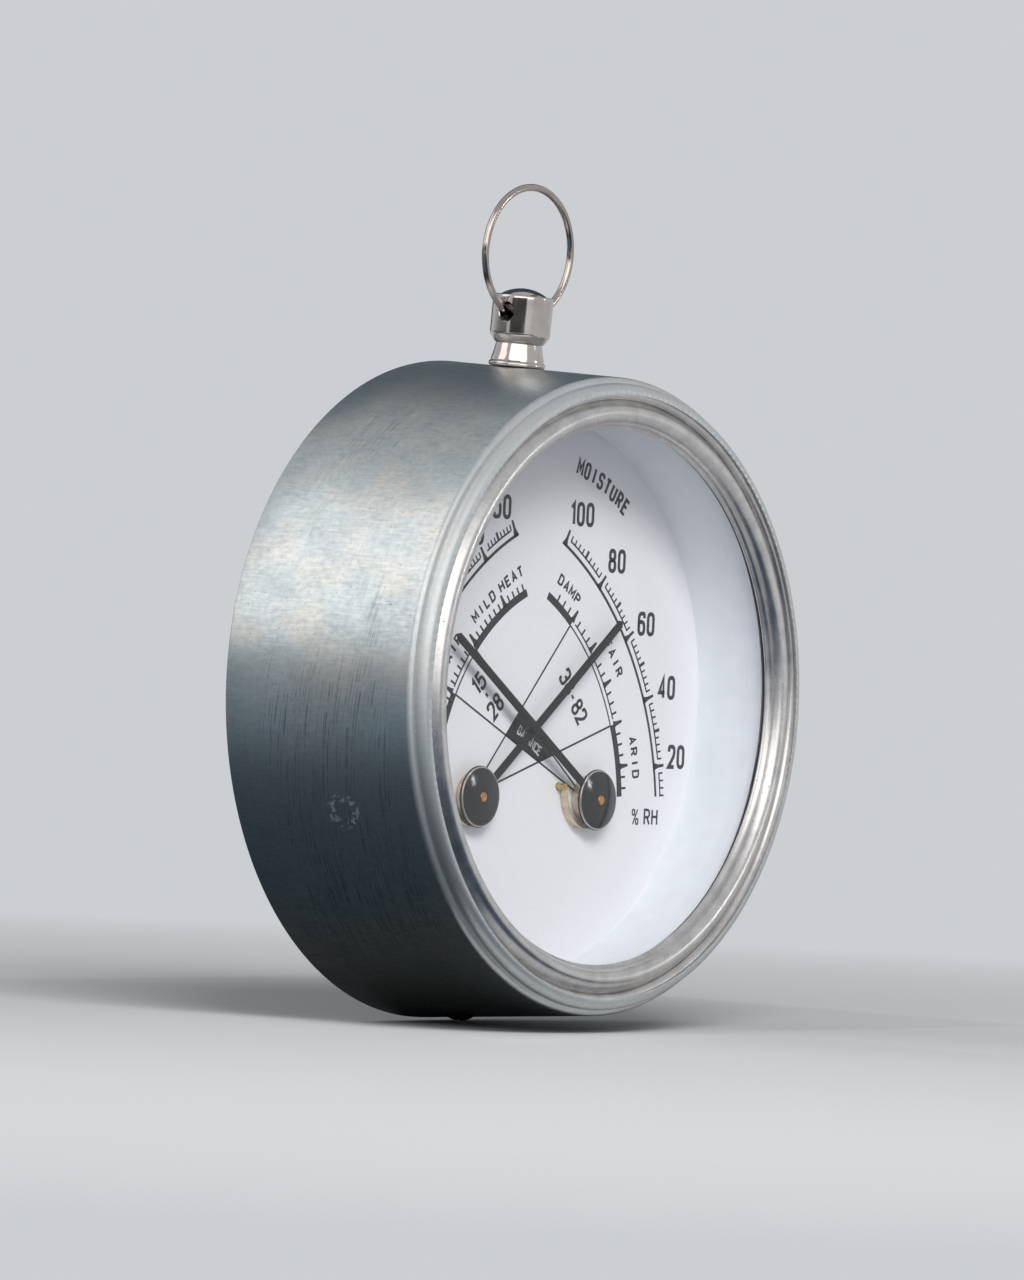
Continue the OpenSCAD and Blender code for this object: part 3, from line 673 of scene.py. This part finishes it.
def draw_scale(ink, side):
    """The outer scale: a heavy line, wedges for the numbers and a comb of ten parts between them"""
    marks = NUMBER_MARKS[side]
    end = SCALE_END[side]
    overrun = 0.7
    gap = 1.25
    slack = 0.2
    scale_arc(ink, side, OUTER, marks[0] + overrun, end, 0, HEAVY_LINE)
    for mark in marks:
        wedge(ink, side, OUTER, mark, NUMBER_WEDGE)
    mean_part = (marks[0] - marks[-1]) / (len(marks) - 1) / 10
    for first, last in zip(marks, marks[1:] + [None]):
        part = mean_part if last is None else (first - last) / 10
        stop = end if last is None else last + gap
        if first - gap > stop:
            scale_arc(ink, side, OUTER, first - gap, stop, COMB_OUT, FINE_LINE)
        for i in range(1, 10):
            angle = first - part * i
            tip, width = (FIFTH_TIP, FIFTH_LINE) if i == 5 else (COMB_TIP, FINE_LINE)
            if angle > stop - slack:
                tick(ink, side, OUTER, angle, COMB_OUT, tip, width)


def draw_zones(ink, side):
    """The inner scale: heavy bands outside the comfortable zone and a double line within it"""
    low, high = COMFORT[side]
    start = ZONE_START[side]
    marks = ZONE_MARKS[side]
    parts = ZONE_PARTS[side]
    inset = 1.3
    slack = 0.4
    scale_arc(ink, side, INNER, start, high, BAND_OUT, BAND_LINE)
    scale_arc(ink, side, INNER, low, ZONE_END, BAND_OUT, BAND_LINE)
    scale_arc(ink, side, INNER, high, low, TWIN_OUTS[0], TWIN_LINE)
    scale_arc(ink, side, INNER, high - inset, low + inset, TWIN_OUTS[1], TWIN_LINE)
    step = (marks[0] - marks[1]) / parts
    for mark in marks:
        wedge(ink, side, INNER, mark, ZONE_WEDGE)
    count = int((start - ZONE_END) / step) + 2
    for i in range(-count, count):
        angle = marks[0] + step * i
        if ZONE_END + slack < angle < start - slack and i % parts:
            tick(ink, side, INNER, angle, ZONE_COMB_OUT, ZONE_COMB_TIP, ZONE_COMB_LINE)
    for angle in COMFORT[side]:
        ink.line([Vector((-side * HUB.x, HUB.y)), on_curve(side, INNER, angle)], LIMIT_LINE)


def zone_word(ink, side, text, angle, out):
    """A word along the inner scale, which reads clockwise"""
    pitch = 2.45
    for i, letter in enumerate(text):
        turn = angle + side * pitch * (i - (len(text) - 1) / 2)
        ink.word(letter, on_curve(side, INNER, turn, out), side * (90 - turn), "zone")


def arc_word(ink, text, centre_angle):
    """A word set round the dial's top, one letter at a time"""
    pitch = 2.95
    reach = 36.0
    for i, letter in enumerate(text):
        angle = centre_angle - (i - (len(text) - 1) / 2) * pitch
        spot = (reach * math.cos(math.radians(angle)), reach * math.sin(math.radians(angle)))
        ink.word(letter, spot, angle - 90, "name")


def crossing(rise_left, rise_right):
    """Where a line up from the left hub meets one up from the right hub"""
    a = math.tan(math.radians(rise_left))
    b = math.tan(math.radians(rise_right))
    rise = 2 * HUB_X * a * b / (a + b)
    return (-HUB_X + rise / a, HUB_Z + rise)


def draw_numbers(ink):
    """The plain numbers of both outer scales, some at places of their own and the rest beside their wedges"""
    out = 5.0
    lift = 0.2
    placed = (
        ("100", (10.3, 27.6)), ("80", (19.65, 20.85)), ("60", (27.8, 11.5)), ("40", (33.85, 1.85)),
        ("20", (37.1, -8.85)), ("50", (-9.5, 27.8)), ("-10", (-32.8, -19.4)),
    )
    for text, spot in placed:
        ink.word(text, spot, 0, "number")
    for text, angle in zip(("40", "30", "20", "10", "0"), NUMBER_MARKS[TEMP][1:]):
        spot = on_curve(TEMP, OUTER, angle, out)
        ink.word(text, (spot.x, spot.y + lift), 0, "number")


def draw_words(ink):
    """The names of the scales and zones, the comfortable ranges and the units"""
    arc_word(ink, "MOISTURE", 64.5)
    arc_word(ink, "WARMTH", 115.5)
    zone_words = (
        (HUMIDITY, "DAMP", 55.2, 4.2), (HUMIDITY, "FAIR", 32.6, 5.3), (HUMIDITY, "ARID", 9.4, 4.9),
        (TEMP, "HEAT", 57.6, 4.1), (TEMP, "MILD", 46.4, 4.0),
        (TEMP, "FAIR", 31.6, 4.6), (TEMP, "COOL", 9.4, 4.9),
    )
    for side, text, angle, out in zone_words:
        zone_word(ink, side, text, angle, out)
    ink.word("38", (8.5, 2.0), -52, "range")
    ink.word("-", (10.0, -0.2), -52, "dash")
    ink.word("82", (11.8, -2.5), -52, "range")
    ink.word("15", (-13.3, 1.1), 47, "range")
    ink.word("-", (-11.2, -0.5), -37, "dash")
    ink.word("28", (-9.0, -2.2), 47, "range")
    ink.word("%", (27.2, -18.3), 0, "percent")
    ink.word("RH", (31.2, -18.3), 0, "unit")
    ink.word("*C", (-26.4, -18.3), 0, "unit")


def draw_dial(ink_finish, white_finish):
    """All the printing in dark ink, and a white word on the diamond where the comfortable zones cross"""
    ink = Print(*INK_LEVELS)
    for side in (HUMIDITY, TEMP):
        draw_scale(ink, side)
    for side in (HUMIDITY, TEMP):
        draw_zones(ink, side)
    draw_numbers(ink)
    draw_words(ink)
    low, high = COMFORT[HUMIDITY]
    other_low, other_high = COMFORT[TEMP]
    diamond = [crossing(high, other_low), crossing(low, other_low), crossing(low, other_high),
               crossing(high, other_high)]
    ink.patch(diamond)
    ink.finish("dial_print", ink_finish, "pointer_black")
    white = Print(*WHITE_LEVELS)
    middle = sum((Vector(corner) for corner in diamond), Vector((0, 0))) / 4
    white.word("BALANCE", middle, -31, "white")
    white.finish("dial_zone_word", white_finish, "dial_white")


def display(r, g, b):
    """A linear colour from its value on the screen"""
    return tuple(((c + 0.055) / 1.055) ** 2.4 if c > 0.04 else c / 12.92 for c in (r, g, b)) + (1.0,)


def add_node(tree, kind, inputs=None, **settings):
    """A shader node with each input linked or set to a value"""
    node = tree.nodes.new("ShaderNode" + kind)
    for key, value in settings.items():
        setattr(node, key, value)
    for key, value in (inputs or {}).items():
        if isinstance(value, bpy.types.NodeSocket):
            tree.links.new(value, node.inputs[key])
        else:
            node.inputs[key].default_value = value
    return node


class Finish:
    """One material, with short calls for the nodes that the finishes share"""

    def __init__(self, name, colour, rough, metal=0.0, shine=0.5):
        self.material = bpy.data.materials.new(name)
        self.material.use_nodes = True
        self.tree = self.material.node_tree
        self.shader = self.tree.nodes["Principled BSDF"]
        self.shader.inputs["Base Color"].default_value = display(*colour)
        self.shader.inputs["Roughness"].default_value = rough
        self.shader.inputs["Metallic"].default_value = metal
        self.shader.inputs["Specular IOR Level"].default_value = shine
        self.coords = self.add("TexCoord").outputs["Object"]

    def add(self, kind, inputs=None, **settings):
        return add_node(self.tree, kind, inputs, **settings)

    def grain(self, size, detail=3, turn=(0, 0, 0), shift=0.0):
        """Noise whose features have the given size in mm along x, y and z"""
        place = self.add("Mapping", {"Vector": self.coords, "Scale": [s * MM for s in size],
                                     "Rotation": [math.radians(a) for a in turn],
                                     "Location": (shift, shift, shift)}, vector_type="TEXTURE")
        noise = self.add("TexNoise", {"Vector": place.outputs[0], "Scale": 1.0, "Detail": detail})
        return noise.outputs["Fac"]

    def part(self, axis):
        """One coordinate in mm"""
        place = self.add("SeparateXYZ", {"Vector": self.coords}).outputs[axis]
        return self.times(place, 1 / MM)

    def between(self, axis, low, high, edge):
        """1 between two places on an axis, falling to 0 over the edge beyond them"""
        place = self.part(axis)
        rising = self.remap(place, low - edge, low)
        falling = self.remap(place, high + edge, high)
        return self.times(rising, falling)

    def remap(self, value, low, high, to_low=0.0, to_high=1.0):
        """The value carried from one range to another, and held at its ends"""
        node = self.add("MapRange", {"Value": value, "From Min": low, "From Max": high,
                                     "To Min": to_low, "To Max": to_high})
        return node.outputs["Result"]

    def work_out(self, operation, a, b):
        return self.add("Math", {0: a, 1: b}, operation=operation).outputs[0]

    def plus(self, a, b):
        return self.work_out("ADD", a, b)

    def minus(self, a, b):
        return self.work_out("SUBTRACT", a, b)

    def times(self, a, b):
        return self.work_out("MULTIPLY", a, b)

    def larger(self, a, b):
        return self.work_out("MAXIMUM", a, b)

    def blend(self, factor, one, two):
        """The first colour at a factor of 0 and the second at 1"""
        node = self.add("Mix", {0: factor, 6: one, 7: two}, data_type="RGBA")
        return node.outputs[2]

    def paint(self, colour):
        self.tree.links.new(colour, self.shader.inputs["Base Color"])

    def polish(self, value):
        self.tree.links.new(value, self.shader.inputs["Roughness"])

    def emboss(self, height, distance):
        """Relief of a distance in mm"""
        node = self.add("Bump", {"Height": height, "Distance": distance * MM, "Strength": 1.0})
        self.tree.links.new(node.outputs[0], self.shader.inputs["Normal"])


def galvanised_steel():
    """Zinc-coated sheet: brushed along the drum's axis, clouded and scratched; where it is rolled it is rougher
    and carries a painted sheen that makes it paler
    """
    f = Finish("galvanised_case", (0.72, 0.74, 0.75), 0.34, 1.0)
    streak = f.grain((0.25, 6, 0.25), 4)
    cloud = f.grain((5, 6, 5), 4, shift=3.0)
    mottle = f.grain((0.8, 1.0, 0.8), 3, shift=23.0)
    tone = f.plus(f.times(streak, 0.35), f.plus(f.times(cloud, 0.3), f.times(mottle, 0.35)))
    warmth = f.remap(f.grain((9, 12, 9), 3, shift=51.0), 0.42, 0.58)
    pale = f.blend(warmth, display(0.76, 0.79, 0.80), display(0.80, 0.79, 0.77))
    colour = f.blend(f.remap(tone, 0.36, 0.64), display(0.65, 0.68, 0.695), pale)
    speck = f.remap(f.grain((0.5, 0.5, 0.5), 2, shift=7.0), 0.68, 0.76)
    dark = f.larger(f.times(speck, 0.5), f.times(scratches(f), 0.65))
    colour = f.blend(dark, colour, display(0.26, 0.29, 0.32))
    # Painted sheen: at the front's rolled edge the colour is blended towards a pale grey that stands in for the
    # light the curl catches; the roughness also rises there
    fade = 0.7
    rolled = f.remap(f.part("Y"), -SHOULDER_H, -SHOULDER_H - fade)
    colour = f.blend(f.times(rolled, 0.55), colour, display(0.86, 0.86, 0.855))
    mark = stain(f)
    f.paint(f.blend(mark, colour, display(0.24, 0.20, 0.07)))
    f.tree.links.new(f.minus(1.0, mark), f.shader.inputs["Metallic"])
    dull = f.plus(f.times(dark, 0.2), f.times(rolled, 0.15))
    f.polish(f.plus(f.remap(tone, 0.36, 0.64, 0.38, 0.32), dull))
    f.emboss(f.plus(f.times(streak, 0.3), f.times(mottle, 0.5)), 0.012)
    return f.material


def scratches(f):
    """Broken lines round the drum, thick on its left side and rare elsewhere, as a share from 0 to 1"""
    lines = f.remap(f.grain((12, 0.18, 12), 2, (8, 0, 0), 11.0), 0.55, 0.61)
    broken = f.remap(f.grain((2.2, 2.2, 2.2), 3, shift=31.0), 0.38, 0.52)
    field = f.times(f.between("Y", -29, -9, 2.5), f.between("Z", -36, -1, 7))
    field = f.times(field, f.remap(f.part("X"), -12, -30))
    rare = f.remap(f.grain((15, 11, 15), 2, shift=17.0), 0.56, 0.66, 0, 0.5)
    return f.times(f.times(lines, broken), f.larger(field, rare))


def stain(f):
    """A dried drop's ring on the left side of the drum, as a share from 0 to 1"""
    middle = (-44.6 * MM, -20.4 * MM, -18.2 * MM)
    far = f.add("VectorMath", {0: f.coords, 1: middle}, operation="DISTANCE").outputs["Value"]
    ring = f.times(f.remap(far, 1.4 * MM, 2.1 * MM), f.remap(far, 3.1 * MM, 2.3 * MM))
    grains = f.remap(f.grain((0.7, 0.7, 0.7), 3, shift=41.0), 0.5, 0.62)
    return f.times(f.times(ring, grains), 0.45)


def bezel_steel():
    """Rolled plated steel with a soft shine, faint clouding, fine grain and dull scuffs"""
    f = Finish("bezel_steel", (0.80, 0.79, 0.78), 0.3, 1.0)
    cloud = f.grain((3, 3, 3), 3)
    fine = f.grain((0.3, 0.3, 0.3), 3, shift=9.0)
    tone = f.plus(f.times(cloud, 0.6), f.times(fine, 0.4))
    scuff = f.remap(f.grain((0.5, 0.8, 0.5), 3, shift=5.0), 0.64, 0.75)
    colour = f.blend(f.remap(tone, 0.38, 0.62), display(0.76, 0.75, 0.745), display(0.85, 0.84, 0.83))
    f.paint(f.blend(f.times(scuff, 0.4), colour, display(0.50, 0.47, 0.44)))
    f.polish(f.plus(f.remap(tone, 0.38, 0.62, 0.28, 0.36), f.times(scuff, 0.2)))
    f.emboss(tone, 0.006)
    return f.material


def clouded(f, colour, rough, noise, darkest, smoothest, roughest):
    """Lets a noise turn the colour darker and the surface smoother or rougher by shares"""
    darker = tuple(c * darkest for c in colour)
    f.paint(f.blend(f.remap(noise, 0.35, 0.65), display(*darker), display(*colour)))
    f.polish(f.remap(noise, 0.3, 0.7, rough * smoothest, rough * roughest))


def bright_plate(name, colour, rough):
    """Smooth plating with a faint cast"""
    f = Finish(name, colour, rough, 1.0)
    clouded(f, colour, rough, f.grain((3, 3, 3), 2), darkest=0.94, smoothest=0.9, roughest=1.1)
    return f.material


def sheet_metal(name, colour, rough, size):
    """Plain worked metal with faint clouding, whose patches have a size in mm"""
    f = Finish(name, colour, rough, 1.0)
    cloud = f.grain((size, size, size), 4)
    clouded(f, colour, rough, cloud, darkest=0.86, smoothest=0.8, roughest=1.25)
    f.emboss(cloud, 0.01)
    return f.material


def matt_coat(name, colour, rough, size, change, depth, shine=0.5):
    """Paint, plastic or rubber whose fine grain has a size and a depth in mm and a change of tone"""
    f = Finish(name, colour, rough, 0.0, shine)
    fine = f.grain((size, size, size), 4)
    clouded(f, colour, rough, fine, darkest=1 - change, smoothest=0.9, roughest=1.1)
    f.emboss(fine, depth)
    return f.material


def clear_pane():
    """A clean flat pane: light goes straight through, and a little is reflected, more at a slant"""
    material = bpy.data.materials.new("clear_glass")
    material.use_nodes = True
    tree = material.node_tree
    tree.nodes.clear()
    least_share = 0.03
    clear = add_node(tree, "BsdfTransparent", {"Color": (0.985, 0.99, 0.99, 1)})
    gloss = add_node(tree, "BsdfGlossy", {"Roughness": 0.02})
    slant = add_node(tree, "LayerWeight", {"Blend": 0.5}).outputs["Facing"]
    grazing = add_node(tree, "Math", {0: slant, 1: 5}, operation="POWER").outputs[0]
    share = add_node(tree, "Math", {0: grazing, 1: 0.96, 2: least_share}, operation="MULTIPLY_ADD").outputs[0]
    mix = add_node(tree, "MixShader", {0: share, 1: clear.outputs[0], 2: gloss.outputs[0]})
    add_node(tree, "OutputMaterial", {0: mix.outputs[0]})
    return material


FINISHES = {
    "galvanised_case": galvanised_steel(),
    "bezel_steel": bezel_steel(),
    "cover_steel": sheet_metal("cover_steel", (0.74, 0.76, 0.78), 0.38, size=8),
    "plate_steel": sheet_metal("plate_steel", (0.72, 0.73, 0.75), 0.4, size=6),
    "zinc_steel": sheet_metal("zinc_steel", (0.78, 0.79, 0.80), 0.3, size=2),
    "nickel_plate": bright_plate("nickel_plate", (0.80, 0.77, 0.75), 0.12),
    "ring_wire": bright_plate("ring_wire", (0.72, 0.68, 0.66), 0.14),
    "rubber_black": matt_coat("rubber_black", (0.16, 0.14, 0.13), 0.7, size=0.4, change=0.2, depth=0.02),
    "clear_glass": clear_pane(),
    "white_plastic": matt_coat("white_plastic", (0.895, 0.91, 0.935), 0.35, size=3, change=0.02, depth=0.005),
    "dial_white": matt_coat("dial_white", (0.945, 0.94, 0.96), 0.55, size=0.3, change=0.02, depth=0.004),
    "ferrite": matt_coat("ferrite", (0.20, 0.20, 0.21), 0.6, size=0.5, change=0.2, depth=0.03),
    "brass": sheet_metal("brass", (0.85, 0.72, 0.48), 0.28, size=1),
    "staff_brass": sheet_metal("staff_brass", (0.84, 0.62, 0.40), 0.36, size=0.5),
    "coil_strip": sheet_metal("coil_strip", (0.90, 0.83, 0.72), 0.33, size=1),
    "pointer_black": matt_coat("pointer_black", (0.10, 0.09, 0.095), 0.5,
                               size=0.5, change=0.15, depth=0.005, shine=0.3),
    "cap_black": matt_coat("cap_black", (0.09, 0.08, 0.10), 0.13, size=0.25, change=0.6, depth=0.0015),
    "black_screw": matt_coat("black_screw", (0.10, 0.09, 0.085), 0.2,
                             size=0.5, change=0.25, depth=0.02, shine=0.7),
}
INK = matt_coat("dial_ink", (0.17, 0.165, 0.18), 0.6, size=0.5, change=0.12, depth=0.003)


def dress_nodes():
    """Gives every CAD node the finish of its slot"""
    slots = {part["node"]: part["material_slot"] for part in frame["record"]["subparts"]}
    for node, thing in frame["nodes"].items():
        for slot in thing.material_slots:
            slot.link = "OBJECT"
            slot.material = FINISHES[slots[node]]


def make_pieces():
    """Every piece that is drawn here, each in place of its CAD node or on top of one"""
    shell = make_piece("case_shell", lathe(case_section(), TEETH * 5, crimp), UPRIGHT,
                       FINISHES["galvanised_case"], "housing", 50)
    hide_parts("case")
    ring = make_piece("bezel_rolled", lathe(bezel_section(), 480), UPRIGHT,
                      FINISHES["bezel_steel"], "housing", 50)
    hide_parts("bezel_ring")
    sleeve = make_piece("sleeve_moulded", lathe(sleeve_section(), 360), UPRIGHT,
                        FINISHES["white_plastic"], "housing", 30)
    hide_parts("dial_sleeve")
    make_knob(FINISHES["nickel_plate"])
    make_ring(FINISHES["ring_wire"])
    for name, side in (("humidity", HUMIDITY), ("temp", TEMP)):
        make_pointer(name, side, FINISHES["pointer_black"])
        make_cap(name, side, FINISHES["cap_black"], FINISHES["nickel_plate"])
        make_staff(name, side, FINISHES["staff_brass"])
    draw_dial(INK, FINISHES["dial_white"])


# The stage, in metres: its surround, its floor just below the object, and the cards that lie on that floor
SURROUND = (0.80, 0.81, 0.82)
LOWEST = CAD_BOX[0][2]
FLOOR_LEVEL = LOWEST - 0.4 * MM
CARD_LEVEL = LOWEST + 0.2 * MM
OBJECT_AIM = (0, -0.02, 0)


def make_world():
    """A pale surround, seen by the camera and in the metal, with softer light for the rest"""
    world = bpy.data.worlds.new("pale_room")
    bpy.context.scene.world = world
    world.use_nodes = True
    tree = world.node_tree
    tree.nodes.clear()
    ray = add_node(tree, "LightPath").outputs
    seen = add_node(tree, "Math", {0: ray["Is Camera Ray"], 1: ray["Is Glossy Ray"]}, operation="MAXIMUM")
    seen = add_node(tree, "Math", {0: seen.outputs[0], 1: ray["Is Transmission Ray"]}, operation="MAXIMUM")
    light = add_node(tree, "Background", {"Color": (0.62, 0.65, 0.70, 1), "Strength": 0.16})
    surround = add_node(tree, "Background", {"Color": display(*SURROUND), "Strength": 1.0})
    mix = add_node(tree, "MixShader", {0: seen.outputs[0], 1: light.outputs[0], 2: surround.outputs[0]})
    add_node(tree, "OutputWorld", {0: mix.outputs[0]})


def stage_panel(name, width, depth, place, material):
    """A flat panel of the stage, which is not part of the object"""
    mesh = bpy.data.meshes.new(name)
    x = width / 2
    y = depth / 2
    mesh.from_pydata([(-x, -y, 0), (x, -y, 0), (x, y, 0), (-x, y, 0)], [], [(0, 1, 2, 3)])
    thing = bpy.data.objects.new(name, mesh)
    bpy.context.collection.objects.link(thing)
    thing.matrix_world = place
    mesh.materials.append(material)
    return thing


def make_floor():
    """A plain pale floor that fades into the surround"""
    f = Finish("floor", (0.87, 0.88, 0.89), 0.9)
    far = f.add("VectorMath", {0: f.coords}, operation="LENGTH").outputs["Value"]
    fade = f.remap(far, 0.08, 0.4)
    clear = f.add("BsdfTransparent")
    mix = f.add("MixShader", {0: fade, 1: f.shader.outputs[0], 2: clear.outputs[0]})
    f.tree.links.new(mix.outputs[0], f.tree.nodes["Material Output"].inputs[0])
    stage_panel("floor", 4, 4, Matrix.Translation((0, 0, FLOOR_LEVEL)), f.material)


def facing(spot, aim):
    """A place at a spot in metres that looks at an aim along its own -Z"""
    look = (Vector(aim) - Vector(spot)).to_track_quat("-Z", "Y").to_matrix().to_4x4()
    return Matrix.Translation(spot) @ look


def dark_card(name, place, width, depth, colour):
    """A dark panel of the stage, seen only as a reflection"""
    f = Finish(name, colour, 0.9)
    card = stage_panel(name, width, depth, place, f.material)
    card.visible_camera = False
    card.visible_shadow = False
    card.visible_diffuse = False


def floor_card(name, low, high, colour):
    """A dark part of the floor between two corners in metres, seen only as a reflection"""
    place = Matrix.Translation(((low[0] + high[0]) / 2, (low[1] + high[1]) / 2, CARD_LEVEL))
    dark_card(name, place, high[0] - low[0], high[1] - low[1], colour)


def soft_lamp(name, spot, size, power, colour=(1, 1, 1)):
    """A flat lamp at a spot in metres, turned towards the object and hidden from the camera"""
    data = bpy.data.lights.new(name, "AREA")
    data.shape = "RECTANGLE"
    data.size = size[0]
    data.size_y = size[1]
    data.energy = power
    data.color = colour
    lamp = bpy.data.objects.new(name, data)
    bpy.context.collection.objects.link(lamp)
    lamp.matrix_world = facing(spot, OBJECT_AIM)
    lamp.visible_camera = False
    return lamp


def make_lamps():
    """A key for the dial, two large lamps that the metal shows, and a small one for the caps"""
    key = soft_lamp("key", (-0.50, -0.68, 0.56), size=(0.5, 0.3), power=7.2, colour=(1, 0.99, 0.97))
    key.visible_glossy = False
    soft_lamp("side", (-0.675, 0.49, 0.56), size=(0.6, 0.8), power=1.9, colour=(1, 0.965, 0.92))
    soft_lamp("left", (-0.69, -0.62, 0.38), size=(1.5, 0.74), power=5.6, colour=(1, 0.985, 0.97))
    soft_lamp("window", (0.575, -0.80, 0.175), size=(0.06, 0.09), power=0.35)


def make_cards():
    """Dark cards in place of a room: two at the knob's level, one high behind, and parts of the floor"""
    knob_level = (0, 0, 0.055)
    dark_card("dark_front", facing((-0.72, -0.34, 0.058), knob_level), 0.85, 0.125, (0.12, 0.11, 0.13))
    dark_card("dim_side", facing((-0.52, 0.62, 0.055), knob_level), 1.1, 0.13, (0.50, 0.51, 0.53))
    dark_card("dark_back", facing((0.51, 0.51, 0.43), OBJECT_AIM), 0.75, 0.75, (0.33, 0.40, 0.44))
    floor_card("dim_left", (-0.9, -0.1), (-0.16, 0.75), (0.40, 0.50, 0.56))
    floor_card("dark_left", (-0.16, -0.1), (-0.037, 0.4), (0.16, 0.225, 0.26))
    floor_card("dark_corner", (-0.9, -0.6), (-0.037, -0.1), (0.15, 0.24, 0.33))
    floor_card("dark_near", (-0.037, -0.6), (0.03, -0.047), (0.15, 0.24, 0.33))
    floor_card("dark_rear", (-0.037, -0.034), (0.12, 0.10), (0.21, 0.225, 0.23))


# The camera, fitted to the photo: angles in degrees, places in metres, the lens in mm
CAMERA_AZIMUTH = -52.092
CAMERA_RISE = -0.522
CAMERA_ROLL = -2.590
CAMERA_DISTANCE = 1.0111
CAMERA_AIM = Vector((-0.001567, -0.016105, 0.007912))
CAMERA_LENS = 235.04


def make_camera():
    """The photo's view"""
    data = bpy.data.cameras.new("camera")
    data.sensor_fit = "HORIZONTAL"
    data.sensor_width = 36
    data.lens = CAMERA_LENS
    data.clip_start = 0.01
    camera = bpy.data.objects.new("camera", data)
    bpy.context.collection.objects.link(camera)
    azimuth = math.radians(CAMERA_AZIMUTH)
    rise = math.radians(CAMERA_RISE)
    away = Vector((math.sin(azimuth) * math.cos(rise), -math.cos(azimuth) * math.cos(rise), math.sin(rise)))
    level = (-away).to_track_quat("-Z", "Y").to_matrix().to_4x4()
    roll = Matrix.Rotation(math.radians(-CAMERA_ROLL), 4, "Z")
    camera.matrix_world = Matrix.Translation(CAMERA_AIM + away * CAMERA_DISTANCE) @ level @ roll
    bpy.context.scene.camera = camera


bpy.context.scene.view_settings.view_transform = "Standard"
make_camera()
make_world()
make_floor()
make_lamps()
make_cards()
dress_nodes()
make_pieces()

bpy.context.view_layer.update()
